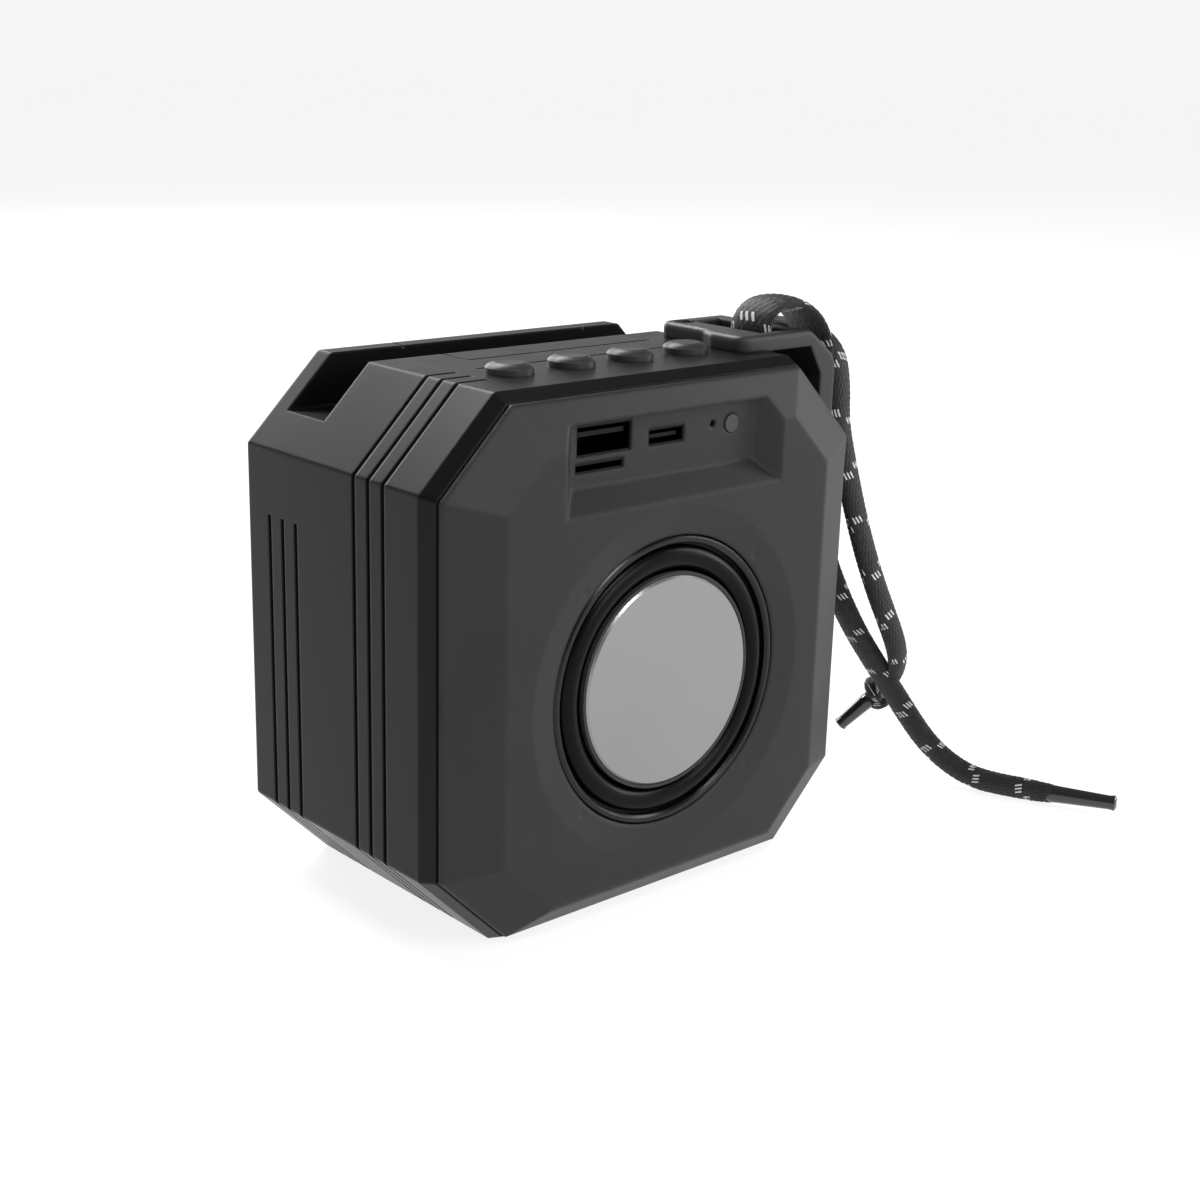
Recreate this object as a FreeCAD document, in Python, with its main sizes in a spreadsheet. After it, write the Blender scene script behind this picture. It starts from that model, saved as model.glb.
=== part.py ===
import FreeCAD, Part
import math
import os
import Sketcher

# A small octagonal loudspeaker with a strap lug, a phone slot and a braided cord.
# Millimetres. X to the right, Y to the back, Z up. The origin is the centre of the flat underside.

os.makedirs("parts", exist_ok=True)
doc = FreeCAD.newDocument("ShowerSpeaker")

DIMENSIONS = {
    # housing: an octagonal sleeve, closed at the back
    "body_width": 105.0, "body_height": 102.5, "body_depth": 57.5, "corner_leg": 16.0,
    "wall": 2.5, "edge_round": 1.0, "lead_depth": 3.2, "lead_inset": 1.4, "rear_wall": 5.0,
    "slot_from_rim": 40.0, "slot_width": 12.5, "slot_depth": 10.0,
    "post_inset": 9.0, "post_drop": 9.8, "post_radius": 3.6, "post_front": 4.0, "post_back": 10.0,
    "rib_width": 1.0, "rib_cut": 0.7, "rib_pitch": 4.4, "front_rib": 13.3, "rear_rib": 40.9,
    "rib_top_end": 30.0, "rear_rib_top_drop": 28.5,
    "line_width": 0.6, "line_cut": 0.5, "line_left": 20.0, "line_right": 27.0,
    "line_front": 31.5, "button_line": 22.8, "button_line_left": 24.5,
    # front panel
    "panel_raise": 5.6, "panel_edge": 1.0, "panel_seam": 0.3, "panel_inset": 1.7,
    "seam_depth": 0.9, "edge_ease": 0.6, "boss_radius": 3.0, "driver_pilot_skin": 1.0,
    "panel_plug": 2.4, "fit_gap": 0.2, "face_side": 12.3, "face_top": 10.2, "face_bottom": 6.6,
    "face_top_leg": 9.6, "face_bottom_leg": 11.4, "face_round": 2.0, "panel_skin": 2.4,
    # loudspeaker
    "driver_height": 45.0, "opening_radius": 28.3, "dish_radius": 34.0, "dish_depth": 1.1,
    "flange_radius": 33.0, "flange_play": 1.0, "gasket_thickness": 0.5, "flange_thickness": 1.2,
    "flange_screw_inset": 2.3, "trim_gap": 0.1, "trim_ease": 0.5,
    "disc_radius": 20.4, "disc_thickness": 0.8, "disc_setback": 0.9, "cone_travel": 1.5,
    "roll_inner": 21.4, "roll_outer": 26.2, "roll_height": 2.3, "roll_skin": 0.6, "roll_gap": 0.3,
    "basket_lip": 1.0, "basket_seat": 2.0, "window_half": 7.0, "window_front": 2.5,
    "cone_skin": 0.6, "cone_depth": 8.6, "neck_length": 2.0, "cone_gap": 0.1, "cone_lip": 0.5,
    "disc_ease": 0.4, "coil_radius": 10.0, "former_wall": 0.4, "former_start": 6.0,
    "winding_wall": 0.6, "winding_length": 6.0, "coil_reach": 4.5,
    "spider_from_seat": 3.6, "spider_wave": 0.5, "spider_skin": 0.4, "spider_gap": 0.2,
    "magnet_radius": 22.5, "magnet_thickness": 8.0, "plate_thickness": 3.0,
    "magnet_from_rim": 14.5, "plate_inset": 1.5, "coil_gap": 0.5,
    "strip_half": 5.0, "strip_thickness": 1.8, "strip_low": 72.0, "strip_high": 76.5,
    # port pocket in the front panel
    "pocket_half": 27.1, "pocket_bottom_drop": 22.2, "pocket_top_drop": 6.2, "pocket_slope": 4.2,
    "pocket_floor": 1.6,
    "usb_width": 13.1, "usb_height": 5.6, "usb_length": 10.0, "usb_place": 15.2,
    "plug_width": 9.0, "plug_height": 3.2, "plug_length": 7.4,
    "socket_wall": 0.3, "socket_gap": 0.05, "socket_setback": 0.2, "socket_back": 0.8,
    "tongue_inset": 1.1, "tongue_half": 0.35, "usb_tongue_low": 0.6,
    "card_width": 11.6, "card_height": 1.8, "card_length": 13.0, "card_place": 16.2,
    "microphone_place": 11.9, "microphone_height_drop": 10.1, "microphone_radius": 0.7,
    "capsule_radius": 2.0, "capsule_length": 1.6,
    "lamp_place": 16.8, "lamp_height_drop": 10.5, "lamp_radius": 1.75,
    "lamp_proud": 0.2, "lamp_chip_half": 1.5, "lamp_chip_depth": 1.2,
    # boards
    "board_top_drop": 12.5, "board_thickness": 1.2, "board_half": 30.0, "board_depth": 31.0,
    "board_gap": 0.3, "board_screw_inset": 4.0, "board_screw_from_rim": 30.0, "hanger_radius": 3.0,
    "radio_left": 2.0, "radio_from_rim": 14.0, "radio_side": 14.0, "chip_height": 1.5,
    "amplifier_half": 4.0, "amplifier_from_rim": 22.0, "capacitor_place": 13.0,
    "capacitor_from_rim": 28.0, "capacitor_radius": 2.5, "capacitor_height": 5.5,
    "key_board_width": 9.2, "header_width": 2.6, "header_length": 7.6, "header_inset": 3.0,
    "key_board_top_drop": 7.1, "key_board_half": 28.0, "switch_size": 4.5, "switch_height": 2.3,
    # buttons
    "button_pitch": 14.7, "button_from_rim": 16.8, "button_radius": 3.6, "button_rise": 2.0,
    "button_gap": 0.25, "button_flange": 0.9, "button_travel": 0.5, "button_lip": 0.9,
    "button_stem": 1.8, "button_clear": 0.05, "stem_gap": 0.1,
    # power cell and its holder
    "cell_radius": 9.15, "cell_length": 65.0, "cell_from_rim": 41.4, "holder_wall": 1.2,
    "cell_play": 0.6, "contact_thickness": 0.5, "contact_reach": 3.0,
    # rear cover
    "cover_thickness": 2.5, "cover_margin": 6.0, "cover_ledge": 4.0, "cover_top_drop": 17.0,
    "cover_top_leg": 6.0, "cover_screw_rise": 8.0, "cover_screw_drop": 12.0, "cover_seat": 1.3,
    # screws: radius of the shank, length under the head, radius and height of the head
    "screw_bite": 0.05, "screw_play": 0.25,
    "panel_screw": 0.9, "panel_screw_length": 9.4, "panel_head": 2.3, "panel_head_height": 1.5,
    "cover_screw": 0.95, "cover_screw_length": 3.6, "cover_head": 1.8, "cover_head_height": 1.0,
    "driver_screw": 0.8, "driver_screw_length": 2.8, "driver_head": 1.7,
    "driver_head_height": 1.0,
    "board_screw": 0.85, "board_screw_length": 6.0, "board_head": 2.0, "board_head_height": 1.2,
    "lug_screw": 1.0, "lug_screw_length": 6.0, "lug_head": 2.0, "lug_head_height": 1.3,
    # strap lug
    "lug_left": 29.4, "lug_front": 8.4, "lug_width": 26.0, "lug_thickness": 3.2,
    "lug_wall": 4.2, "lug_bottom_drop": 34.5, "lug_corner_drop": 4.3,
    "lug_inner_x": 3.4, "lug_inner_drop": 5.8, "lug_step": 2.0, "lug_step_from": 9.0,
    "lug_corner_bend": 1.1, "lug_bevel": 8.0, "lug_plan_round": 2.6, "lug_rim_round": 1.1,
    "lug_seat": 1.4, "lug_screw_inset": 3.6,
    "lug_slot_x": 40.8, "lug_slot_width": 7.8, "lug_slot_front": 11.0, "lug_slot_length": 19.4,
    # cord
    "cord_diameter": 5.4, "knot_radius": 4.2, "tip_radius": 1.7, "tip_length": 13.5,
    "short_tip_length": 7.5,
}

nodes = []


def fill_sheet():
    """Write the driving dimensions into the document's spreadsheet."""
    sheet = doc.addObject("Spreadsheet::Sheet", "Sizes")
    for row, (name, value) in enumerate(DIMENSIONS.items(), start=1):
        sheet.set(f"A{row}", name)
        sheet.set(f"B{row}", str(value))
        sheet.setAlias(f"B{row}", name)
    doc.recompute()
    return sheet


class Size:
    """A length with the spreadsheet expression that it comes from."""

    def __init__(self, value, text):
        self.value = value
        self.text = text

    def __add__(self, other):
        other = size(other)
        return Size(self.value + other.value, f"({self.text} + {other.text})")

    def __sub__(self, other):
        other = size(other)
        return Size(self.value - other.value, f"({self.text} - {other.text})")

    def __mul__(self, other):
        other = size(other)
        return Size(self.value * other.value, f"({self.text} * {other.text})")

    def __truediv__(self, other):
        other = size(other)
        return Size(self.value / other.value, f"({self.text} / {other.text})")

    def __radd__(self, other):
        return size(other) + self

    def __rsub__(self, other):
        return size(other) - self

    def __rmul__(self, other):
        return size(other) * self

    def __neg__(self):
        return Size(-self.value, f"(0 - {self.text})")


def size(value):
    return value if isinstance(value, Size) else Size(float(value), f"{value:.9g}")


sheet = fill_sheet()


def dim(name):
    """A driving dimension, read from the spreadsheet."""
    return Size(float(sheet.get(name)), f"Sizes.{name}")


def bind(thing, path, length):
    thing.setExpression(path, size(length).text)


# places that many sub-parts share
HALF = dim("body_width") / 2
TOP = dim("body_height")
FRONT = -dim("body_depth") / 2
BACK = dim("body_depth") / 2
LEG = dim("corner_leg")
WALL = dim("wall")
CORNER_SHARE = 2 - math.sqrt(2)  # how much a 45 degree corner's leg shrinks per inset


def below_top(name):
    """The height of a named distance down from the top of the housing."""
    return TOP - dim(name)


def rim(distance):
    """The Y of a plane this far behind the housing's front rim."""
    return FRONT + distance


def octagon(inset, top_drop=0):
    """The housing's outline moved inwards, as (x, z) points."""
    half, leg = HALF - inset, LEG - size(inset) * CORNER_SHARE
    low, high = size(inset), TOP - inset - top_drop
    return [
        (leg - half, high), (half - leg, high), (half, high - leg), (half, low + leg),
        (half - leg, low), (leg - half, low), (-half, low + leg), (-half, high - leg),
    ]


def rectangle(left, right, low, high):
    return [(left, low), (right, low), (right, high), (left, high)]


# ---------------------------------------------------------------- building blocks

def new_body(label):
    body = doc.addObject("PartDesign::Body", label)
    body.Label = label
    return body


def new_sketch(body, name, plane="XZ_Plane", at=0, up=0):
    """A sketch on a plane of the body's own origin. On XZ_Plane at is its Y, and up moves its origin."""
    support = next(f for f in body.Origin.OriginFeatures if f.Role == plane)
    sketch = body.newObject("Sketcher::SketchObject", f"{body.Name}_{name}")
    sketch.AttachmentSupport = (support, [""])
    sketch.MapMode = "FlatFace"
    bind(sketch, "AttachmentOffset.Base.z", -size(at) if plane == "XZ_Plane" else at)
    bind(sketch, "AttachmentOffset.Base.y", up)
    return sketch


def pin_point(sketch, geometry, position, x, y):
    """Fix a point of the sketch at two bound distances from its origin."""
    for kind, axis, length in (("DistanceX", -2, size(x)), ("DistanceY", -1, size(y))):
        if length.text.strip("()") in ("0", "-0"):
            sketch.addConstraint(Sketcher.Constraint("PointOnObject", geometry, position, axis))
            continue
        index = sketch.addConstraint(
            Sketcher.Constraint(kind, -1, 1, geometry, position, length.value))
        bind(sketch, f"Constraints[{index}]", length)


def draw_outline(sketch, points):
    vectors = [FreeCAD.Vector(size(x).value, size(y).value, 0) for x, y in points]
    first = sketch.GeometryCount
    for start, end in zip(vectors, vectors[1:] + vectors[:1]):
        sketch.addGeometry(Part.LineSegment(start, end), False)
    count = len(points)
    for number in range(count):
        following = first + (number + 1) % count
        sketch.addConstraint(Sketcher.Constraint("Coincident", first + number, 2, following, 1))
    for number, (x, y) in enumerate(points):
        pin_point(sketch, first + number, 1, x, y)


def draw_circle(sketch, x, y, radius):
    circle = Part.Circle(
        FreeCAD.Vector(size(x).value, size(y).value, 0), FreeCAD.Vector(0, 0, 1), size(radius).value)
    number = sketch.addGeometry(circle, False)
    pin_point(sketch, number, 3, x, y)
    index = sketch.addConstraint(Sketcher.Constraint("Radius", number, size(radius).value))
    bind(sketch, f"Constraints[{index}]", radius)


def sketch_of(body, name, shapes, plane="XZ_Plane", at=0, up=0):
    """A sketch holding outlines (lists of points) and circles (x, y, radius)."""
    sketch = new_sketch(body, name, plane, at, up)
    for shape in shapes:
        if isinstance(shape, tuple):
            draw_circle(sketch, *shape)
        else:
            draw_outline(sketch, shape)
    return sketch


def extrude(body, kind, name, shapes, start, end, plane="XZ_Plane"):
    """Pad or pocket the shapes between two planes: Y on XZ_Plane, Z on XY_Plane, X on YZ_Plane."""
    sketch = sketch_of(body, f"{name}_sketch", shapes, plane, at=start)
    feature = body.newObject(f"PartDesign::{kind}", f"{body.Name}_{name}")
    feature.Profile = sketch
    bind(feature, "Length", size(end) - start)
    along = plane != "XZ_Plane"
    feature.Reversed = not along if kind == "Pad" else along
    return feature


def pad(body, name, shapes, start, end, plane="XZ_Plane"):
    return extrude(body, "Pad", name, shapes, start, end, plane)


def pocket(body, name, shapes, start, end, plane="XZ_Plane"):
    doc.recompute()
    before = body.Shape.Volume
    feature = extrude(body, "Pocket", name, shapes, start, end, plane)
    doc.recompute()
    if body.Shape.Volume >= before:
        raise RuntimeError(f"{feature.Name} cuts nothing")
    return feature


def loft(body, kind, name, first, first_at, last, last_at):
    """Join two outlines on parallel XZ planes by a straight loft, added or cut."""
    feature = body.newObject(f"PartDesign::{kind}Loft", f"{body.Name}_{name}")
    feature.Profile = sketch_of(body, f"{name}_first", [first], at=first_at)
    feature.Sections = [sketch_of(body, f"{name}_last", [last], at=last_at)]
    feature.Ruled = True
    return feature


def dress(body, kind, name, wanted, **settings):
    """Fillet or chamfer the edges of the body's shape for which wanted(edge) is true."""
    doc.recompute()
    base = body.Tip
    found = [f"Edge{n}" for n, edge in enumerate(base.Shape.Edges, start=1) if wanted(edge)]
    if not found:
        raise RuntimeError(f"{name} found no edges")
    feature = body.newObject(f"PartDesign::{kind}", f"{body.Name}_{name}")
    feature.Base = (base, found)
    for key, value in settings.items():
        if isinstance(value, Size):
            bind(feature, key, value)
        else:
            setattr(feature, key, value)
    doc.recompute()
    return feature


def revolve(body, kind, name, profile, up):
    """Turn a profile of (y, radius) points about a line along Y at the height up."""
    feature = body.newObject(f"PartDesign::{kind}", f"{body.Name}_{name}")
    sketch = sketch_of(body, f"{name}_sketch", [profile], "YZ_Plane", 0, up)
    feature.Profile = sketch
    feature.ReferenceAxis = (sketch, ["H_Axis"])
    feature.Angle = 360
    return feature


def turned(label, profile, up=None):
    """A sub-part turned about the loudspeaker's axis, or about a line along Y at the height up."""
    body = new_body(label)
    revolve(body, "Revolution", "turned", profile, dim("driver_height") if up is None else up)
    return keep(body)


def keep(thing):
    """Count an object as a sub-part that is written to its own file."""
    nodes.append(thing)
    return thing


def box(name, left, right, front, back, low, high):
    thing = doc.addObject("Part::Box", name)
    thing.Label = name
    for path, low_end, high_end, axis in (
            ("Length", left, right, "x"), ("Width", front, back, "y"), ("Height", low, high, "z")):
        bind(thing, path, size(high_end) - low_end)
        bind(thing, f"Placement.Base.{axis}", low_end)
    return thing


def cylinder(name, x, y, z, radius, length, axis="z"):
    """A cylinder that starts at (x, y, z) and runs along a positive axis."""
    thing = doc.addObject("Part::Cylinder", name)
    thing.Label = name
    turn = {"z": (0, 0, 1, 0), "y": (1, 0, 0, -90), "x": (0, 1, 0, 90)}[axis]
    thing.Placement = FreeCAD.Placement(
        FreeCAD.Vector(0, 0, 0), FreeCAD.Rotation(FreeCAD.Vector(*turn[:3]), turn[3]))
    bind(thing, "Radius", radius)
    bind(thing, "Height", length)
    for letter, place in (("x", x), ("y", y), ("z", z)):
        bind(thing, f"Placement.Base.{letter}", place)
    return thing


def cut(name, base, *tools):
    """Take the tools out of the base."""
    for number, tool in enumerate(tools):
        last = number == len(tools) - 1
        thing = doc.addObject("Part::Cut", name if last else f"{name}_step{number}")
        thing.Base, thing.Tool = base, tool
        base = thing
    base.Label = name
    return base


def fuse(name, *things):
    thing = doc.addObject("Part::MultiFuse", name)
    thing.Shapes = list(things)
    thing.Label = name
    return thing


def group(name, things):
    """Several separate solids that share one node."""
    thing = doc.addObject("Part::Compound", name)
    thing.Links = list(things)
    thing.Label = name
    return thing


def near(value, target):
    return abs(value - size(target).value) < 0.01


def flat_at(edge, target):
    """Whether the whole edge lies in the plane of this Y."""
    return all(near(vertex.Point.y, target) for vertex in edge.Vertexes)


def runs_to_the_back(edge):
    """Whether an edge leads from one depth to another."""
    ends = [vertex.Point for vertex in edge.Vertexes]
    return len(ends) == 2 and not near(ends[0].y, ends[1].y)


# ---------------------------------------------------------------- housing

def side_corners(outline, side):
    """The corners of one side of the housing, from its top edge down to its bottom edge."""
    return [outline[i] for i in ((1, 2, 3, 4) if side > 0 else (0, 7, 6, 5))]


def front_rib_outline(side):
    """A band round one side of the housing that starts on the top."""
    deep = side_corners(octagon(dim("rib_cut")), side)
    clear = side_corners(octagon(-dim("rib_cut")), side)
    start = side * dim("rib_top_end")
    return [(start, deep[0][1])] + deep + clear[::-1] + [(start, clear[0][1])]


def rear_rib_outline(side):
    """A band round one side of the housing that starts part way down the wall."""
    deep = side_corners(octagon(dim("rib_cut")), side)[1:]
    clear = side_corners(octagon(-dim("rib_cut")), side)[1:]
    high = below_top("rear_rib_top_drop")
    return [(deep[0][0], high)] + deep[1:] + clear[:0:-1] + [(clear[0][0], high)]


def cut_ribs(body):
    """Two sets of three narrow grooves round each side."""
    for name, first, outline in (("front_rib", dim("front_rib"), front_rib_outline),
                                 ("rear_rib", dim("rear_rib"), rear_rib_outline)):
        for number in range(3):
            at = rim(first + number * dim("rib_pitch") - dim("rib_width") / 2)
            pocket(body, f"{name}{number}", [outline(side) for side in (-1, 1)], at,
                   at + dim("rib_width"))


def cut_panel_lines(body):
    """The shallow lines on the top that frame a plain panel between the buttons and the rear bar."""
    width, floor = dim("line_width"), TOP - dim("line_cut")
    left, right, start = -dim("line_left"), dim("line_right"), rim(dim("line_front"))
    beyond = BACK + 1
    frame = [
        rectangle(left, left + width, start, beyond),
        rectangle(right - width, right, start, beyond),
    ]
    pocket(body, "frame_lines", frame, floor, TOP + 1, "XY_Plane")
    across = [rectangle(left + width, right - width, start, start + width)]
    pocket(body, "front_line", across, floor, TOP + 1, "XY_Plane")
    behind = rim(dim("button_line"))
    line = [rectangle(-dim("button_line_left"), right, behind, behind + width)]
    pocket(body, "button_line", line, floor, TOP + 1, "XY_Plane")


def post_places():
    """Where the four corner posts stand, as (x, z)."""
    reach = HALF - WALL - dim("post_inset")
    drop = WALL + dim("post_drop")
    return [(side * reach, z) for side in (-1, 1) for z in (drop, TOP - drop)]


def button_places():
    return [(number - 1.5) * dim("button_pitch") for number in range(4)]


def housing_shell():
    """The octagonal sleeve with its rear wall, phone slot, rear bar, grooves and corner posts."""
    body = new_body("housing_shell")
    pad(body, "outside", [octagon(0)], FRONT, BACK)
    dress(body, "Chamfer", "lead_in", lambda e: flat_at(e, FRONT), ChamferType="Two distances",
          Size=dim("lead_depth"), Size2=dim("lead_inset"))
    dress(body, "Fillet", "long_edges", runs_to_the_back, Radius=dim("edge_round"))
    dress(body, "Fillet", "rear_edges", lambda e: flat_at(e, BACK), Radius=dim("edge_round"))
    slot_front = rim(dim("slot_from_rim"))
    slot_back = slot_front + dim("slot_width")
    slot_floor = TOP - dim("slot_depth")
    pocket(body, "phone_slot", [rectangle(-HALF - 1, HALF + 1, slot_floor, TOP + 1)],
           slot_front, slot_back)
    full_end = slot_front - WALL
    low_end = BACK - dim("rear_wall")
    pocket(body, "front_room", [octagon(WALL)], FRONT, full_end)
    room = octagon(WALL)
    low_top = slot_floor - WALL
    shift = (LEG - WALL * CORNER_SHARE) - (TOP - WALL - low_top)
    low_room = [(-HALF + WALL + shift, low_top), (HALF - WALL - shift, low_top)] + room[2:8]
    pocket(body, "rear_room", [low_room], full_end, low_end)
    pocket(body, "cover_recess", [cover_outline(0)], BACK - dim("cover_thickness"), BACK)
    pocket(body, "cover_opening", [cover_outline(dim("cover_ledge"))], low_end,
           BACK - dim("cover_thickness"))
    post_front, post_back = rim(dim("post_front")), rim(dim("post_back"))
    pad(body, "posts", circles(post_places(), dim("post_radius")), post_front, post_back)
    pocket(body, "post_holes", clearances(post_places(), "panel_screw"), post_front, post_back)
    pocket(body, "cover_pilot_holes", pilots(cover_screw_places(), "cover_screw"), low_end,
           BACK - dim("cover_thickness"))
    at = rim(dim("button_from_rim"))
    holes = [(x, at, dim("button_radius") + dim("button_gap")) for x in button_places()]
    pocket(body, "button_holes", holes, TOP - WALL, TOP, "XY_Plane")
    pocket(body, "lug_screw_hole", pilots([lug_screw_place()], "lug_screw"),
           TOP + dim("lug_seat") - dim("lug_screw_length"), TOP, "XY_Plane")
    cut_ribs(body)
    cut_panel_lines(body)
    hanger_low = below_top("board_top_drop")
    pad(body, "board_posts", circles(board_screw_places(), dim("hanger_radius")), hanger_low,
        TOP - WALL, "XY_Plane")
    pocket(body, "board_pilot_holes", pilots(board_screw_places(), "board_screw"), hanger_low,
           hanger_low + dim("board_screw_length"), "XY_Plane")
    return keep(body)


# ---------------------------------------------------------------- rear cover

def cover_outline(inset):
    """The rear cover's outline: the housing's, moved in, with its top under the phone slot."""
    margin = dim("cover_margin") + inset
    outline = octagon(margin)
    high = TOP - dim("cover_top_drop") - inset
    leg = dim("cover_top_leg")
    left, right = outline[7][0], outline[2][0]
    outline[0], outline[1] = (left + leg, high), (right - leg, high)
    outline[2], outline[7] = (right, high - leg), (left, high - leg)
    return outline


def cover_screw_places():
    reach = HALF - dim("cover_margin") - dim("cover_ledge") / 2
    high = TOP - dim("cover_top_drop") - dim("cover_screw_drop")
    return [(side * reach, z) for side in (-1, 1) for z in (LEG + dim("cover_screw_rise"), high)]


def rear_cover():
    body = new_body("rear_cover")
    gap = dim("fit_gap")
    pad(body, "plate", [cover_outline(gap)], BACK - dim("cover_thickness"), BACK)
    pocket(body, "screw_holes", clearances(cover_screw_places(), "cover_screw"),
           BACK - dim("cover_thickness"), BACK)
    seats = circles(cover_screw_places(), dim("cover_head") + dim("screw_play"))
    pocket(body, "head_seats", seats, BACK - dim("cover_seat"), BACK)
    return keep(body)


def circles(places, radius):
    return [(x, y, radius) for x, y in places]


def pilots(places, screw_name):
    """Holes that a screw bites into."""
    return circles(places, dim(screw_name) + dim("screw_bite"))


def clearances(places, screw_name):
    """Holes that a screw passes through."""
    return circles(places, dim(screw_name) + dim("screw_play"))


def screws_along_depth(node, kind, places, seat):
    """Screws at (x, z) places whose heads' undersides are at the Y seat and whose shanks point forward."""
    radius, length = dim(f"{kind}_screw"), dim(f"{kind}_screw_length")
    screws = []
    for number, (x, z) in enumerate(places):
        shank = cylinder(f"{node}_shank{number}", x, seat - length, z, radius, length, "y")
        head = cylinder(f"{node}_head{number}", x, seat, z, dim(f"{kind}_head"),
                        dim(f"{kind}_head_height"), "y")
        screws.append(fuse(f"{node}{number}", shank, head))
    return keep(group(node, screws))


def rear_cover_screws():
    return screws_along_depth("rear_cover_screws", "cover", cover_screw_places(),
                              BACK - dim("cover_seat"))


# ---------------------------------------------------------------- front panel

def face_outline():
    """The flat raised face of the front panel."""
    half, high, low = HALF - dim("face_side"), TOP - dim("face_top"), dim("face_bottom")
    up, down = dim("face_top_leg"), dim("face_bottom_leg")
    return [
        (up - half, high), (half - up, high), (half, high - up), (half, low + down),
        (half - down, low), (down - half, low), (-half, low + down), (-half, high - up),
    ]


def port_places():
    """The centre of each port as (x, z, half width, half height)."""
    on_board = below_top("board_top_drop")
    under = on_board - dim("board_thickness")
    return {
        "usb": (-dim("usb_place"), on_board + dim("usb_height") / 2,
                dim("usb_width") / 2, dim("usb_height") / 2),
        "plug": (0, on_board + dim("plug_height") / 2,
                 dim("plug_width") / 2, dim("plug_height") / 2),
        "card": (-dim("card_place"), under - dim("card_height") / 2,
                 dim("card_width") / 2, dim("card_height") / 2),
    }


def front_panel():
    """The raised front face with the loudspeaker opening and the port pocket."""
    body = new_body("front_panel")
    face, edge = FRONT - dim("panel_raise"), FRONT - dim("panel_edge")
    inset = dim("panel_inset")
    loft(body, "Additive", "slopes", octagon(inset), edge, face_outline(), face)
    dress(body, "Fillet", "face_edges", lambda e: flat_at(e, face), Radius=dim("face_round"))
    pad(body, "edge", [octagon(inset)], edge, FRONT - dim("panel_seam"))
    dress(body, "Fillet", "outer_edges", lambda e: flat_at(e, edge), Radius=dim("edge_ease"))
    pad(body, "neck", [octagon(inset + dim("seam_depth"))], FRONT - dim("panel_seam"), FRONT)
    pad(body, "plug", [octagon(WALL + dim("fit_gap"))], FRONT, rim(dim("panel_plug")))
    at, skin_back = dim("driver_height"), face + dim("panel_skin")
    pocket(body, "driver_room", [(0, at, dim("flange_radius") + dim("flange_play"))], skin_back,
           rim(dim("panel_plug")))
    pocket(body, "opening", [(0, at, dim("opening_radius"))], face, skin_back)
    dish = dim("dish_depth")
    wide, narrow = dim("dish_radius"), dim("opening_radius")
    revolve(body, "Groove", "dish",
            [(face - 1, narrow), (face - 1, wide), (face, wide), (face + dish, narrow)], at)
    cut_port_pocket(body, face)
    boss_back = rim(dim("post_front"))
    pad(body, "bosses", circles(post_places(), dim("boss_radius")), rim(dim("panel_plug")),
        boss_back)
    pocket(body, "boss_holes", pilots(post_places(), "panel_screw"), FRONT, boss_back)
    pocket(body, "driver_pilots", pilots(driver_screw_places(), "driver_screw"),
           face + dim("driver_pilot_skin"), skin_back)
    return keep(body)


def cut_port_pocket(body, face):
    floor = FRONT - dim("pocket_floor")
    half, slope = dim("pocket_half"), dim("pocket_slope")
    low, high = below_top("pocket_bottom_drop"), below_top("pocket_top_drop")
    loft(body, "Subtractive", "port_pocket",
         rectangle(-half, half, low, high), face,
         rectangle(slope - half, half - slope, low + slope, high), floor)
    openings = [rectangle(x - a, x + a, z - b, z + b) for x, z, a, b in port_places().values()]
    pocket(body, "port_openings", openings, floor, rim(dim("panel_plug")))
    sound = (dim("microphone_place"), below_top("microphone_height_drop"), dim("microphone_radius"))
    pocket(body, "microphone_hole", [sound], floor, rim(dim("panel_plug")))
    light = (dim("lamp_place"), below_top("lamp_height_drop"), dim("lamp_radius"))
    pocket(body, "lamp_hole", [light], floor, rim(dim("panel_plug")))


def panel_screws():
    """Four screws through the housing's corner posts into the front panel."""
    return screws_along_depth("front_panel_screws", "panel", post_places(), rim(dim("post_back")))


# ---------------------------------------------------------------- loudspeaker

def driver_screw_places():
    """Four places on the loudspeaker's flange, at 45 degrees, as (x, z)."""
    reach = (dim("flange_radius") - dim("flange_screw_inset")) / math.sqrt(2)
    return [(i * reach, dim("driver_height") + j * reach) for i in (-1, 1) for j in (-1, 1)]


def flange_front():
    return FRONT - dim("panel_raise") + dim("panel_skin") + dim("gasket_thickness")


def driver_gasket():
    back, outer = flange_front(), dim("flange_radius")
    front = back - dim("gasket_thickness")
    inner = dim("opening_radius")
    body = new_body("driver_gasket")
    revolve(body, "Revolution", "ring",
            [(front, inner), (front, outer), (back, outer), (back, inner)], dim("driver_height"))
    pocket(body, "screw_holes", clearances(driver_screw_places(), "driver_screw"), front, back)
    return keep(body)


def trim_ring():
    """The bright-edged ring just inside the panel's opening."""
    back, gap, ease = flange_front(), dim("trim_gap"), dim("trim_ease")
    front = FRONT - dim("panel_raise") + dim("dish_depth") - gap
    outer = dim("opening_radius") - gap
    inner = dim("roll_outer") + dim("roll_gap")
    return turned("driver_trim_ring", [
        (front, inner + ease), (front, outer - ease), (front + ease, outer), (back, outer),
        (back, inner), (front + ease, inner)])


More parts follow.
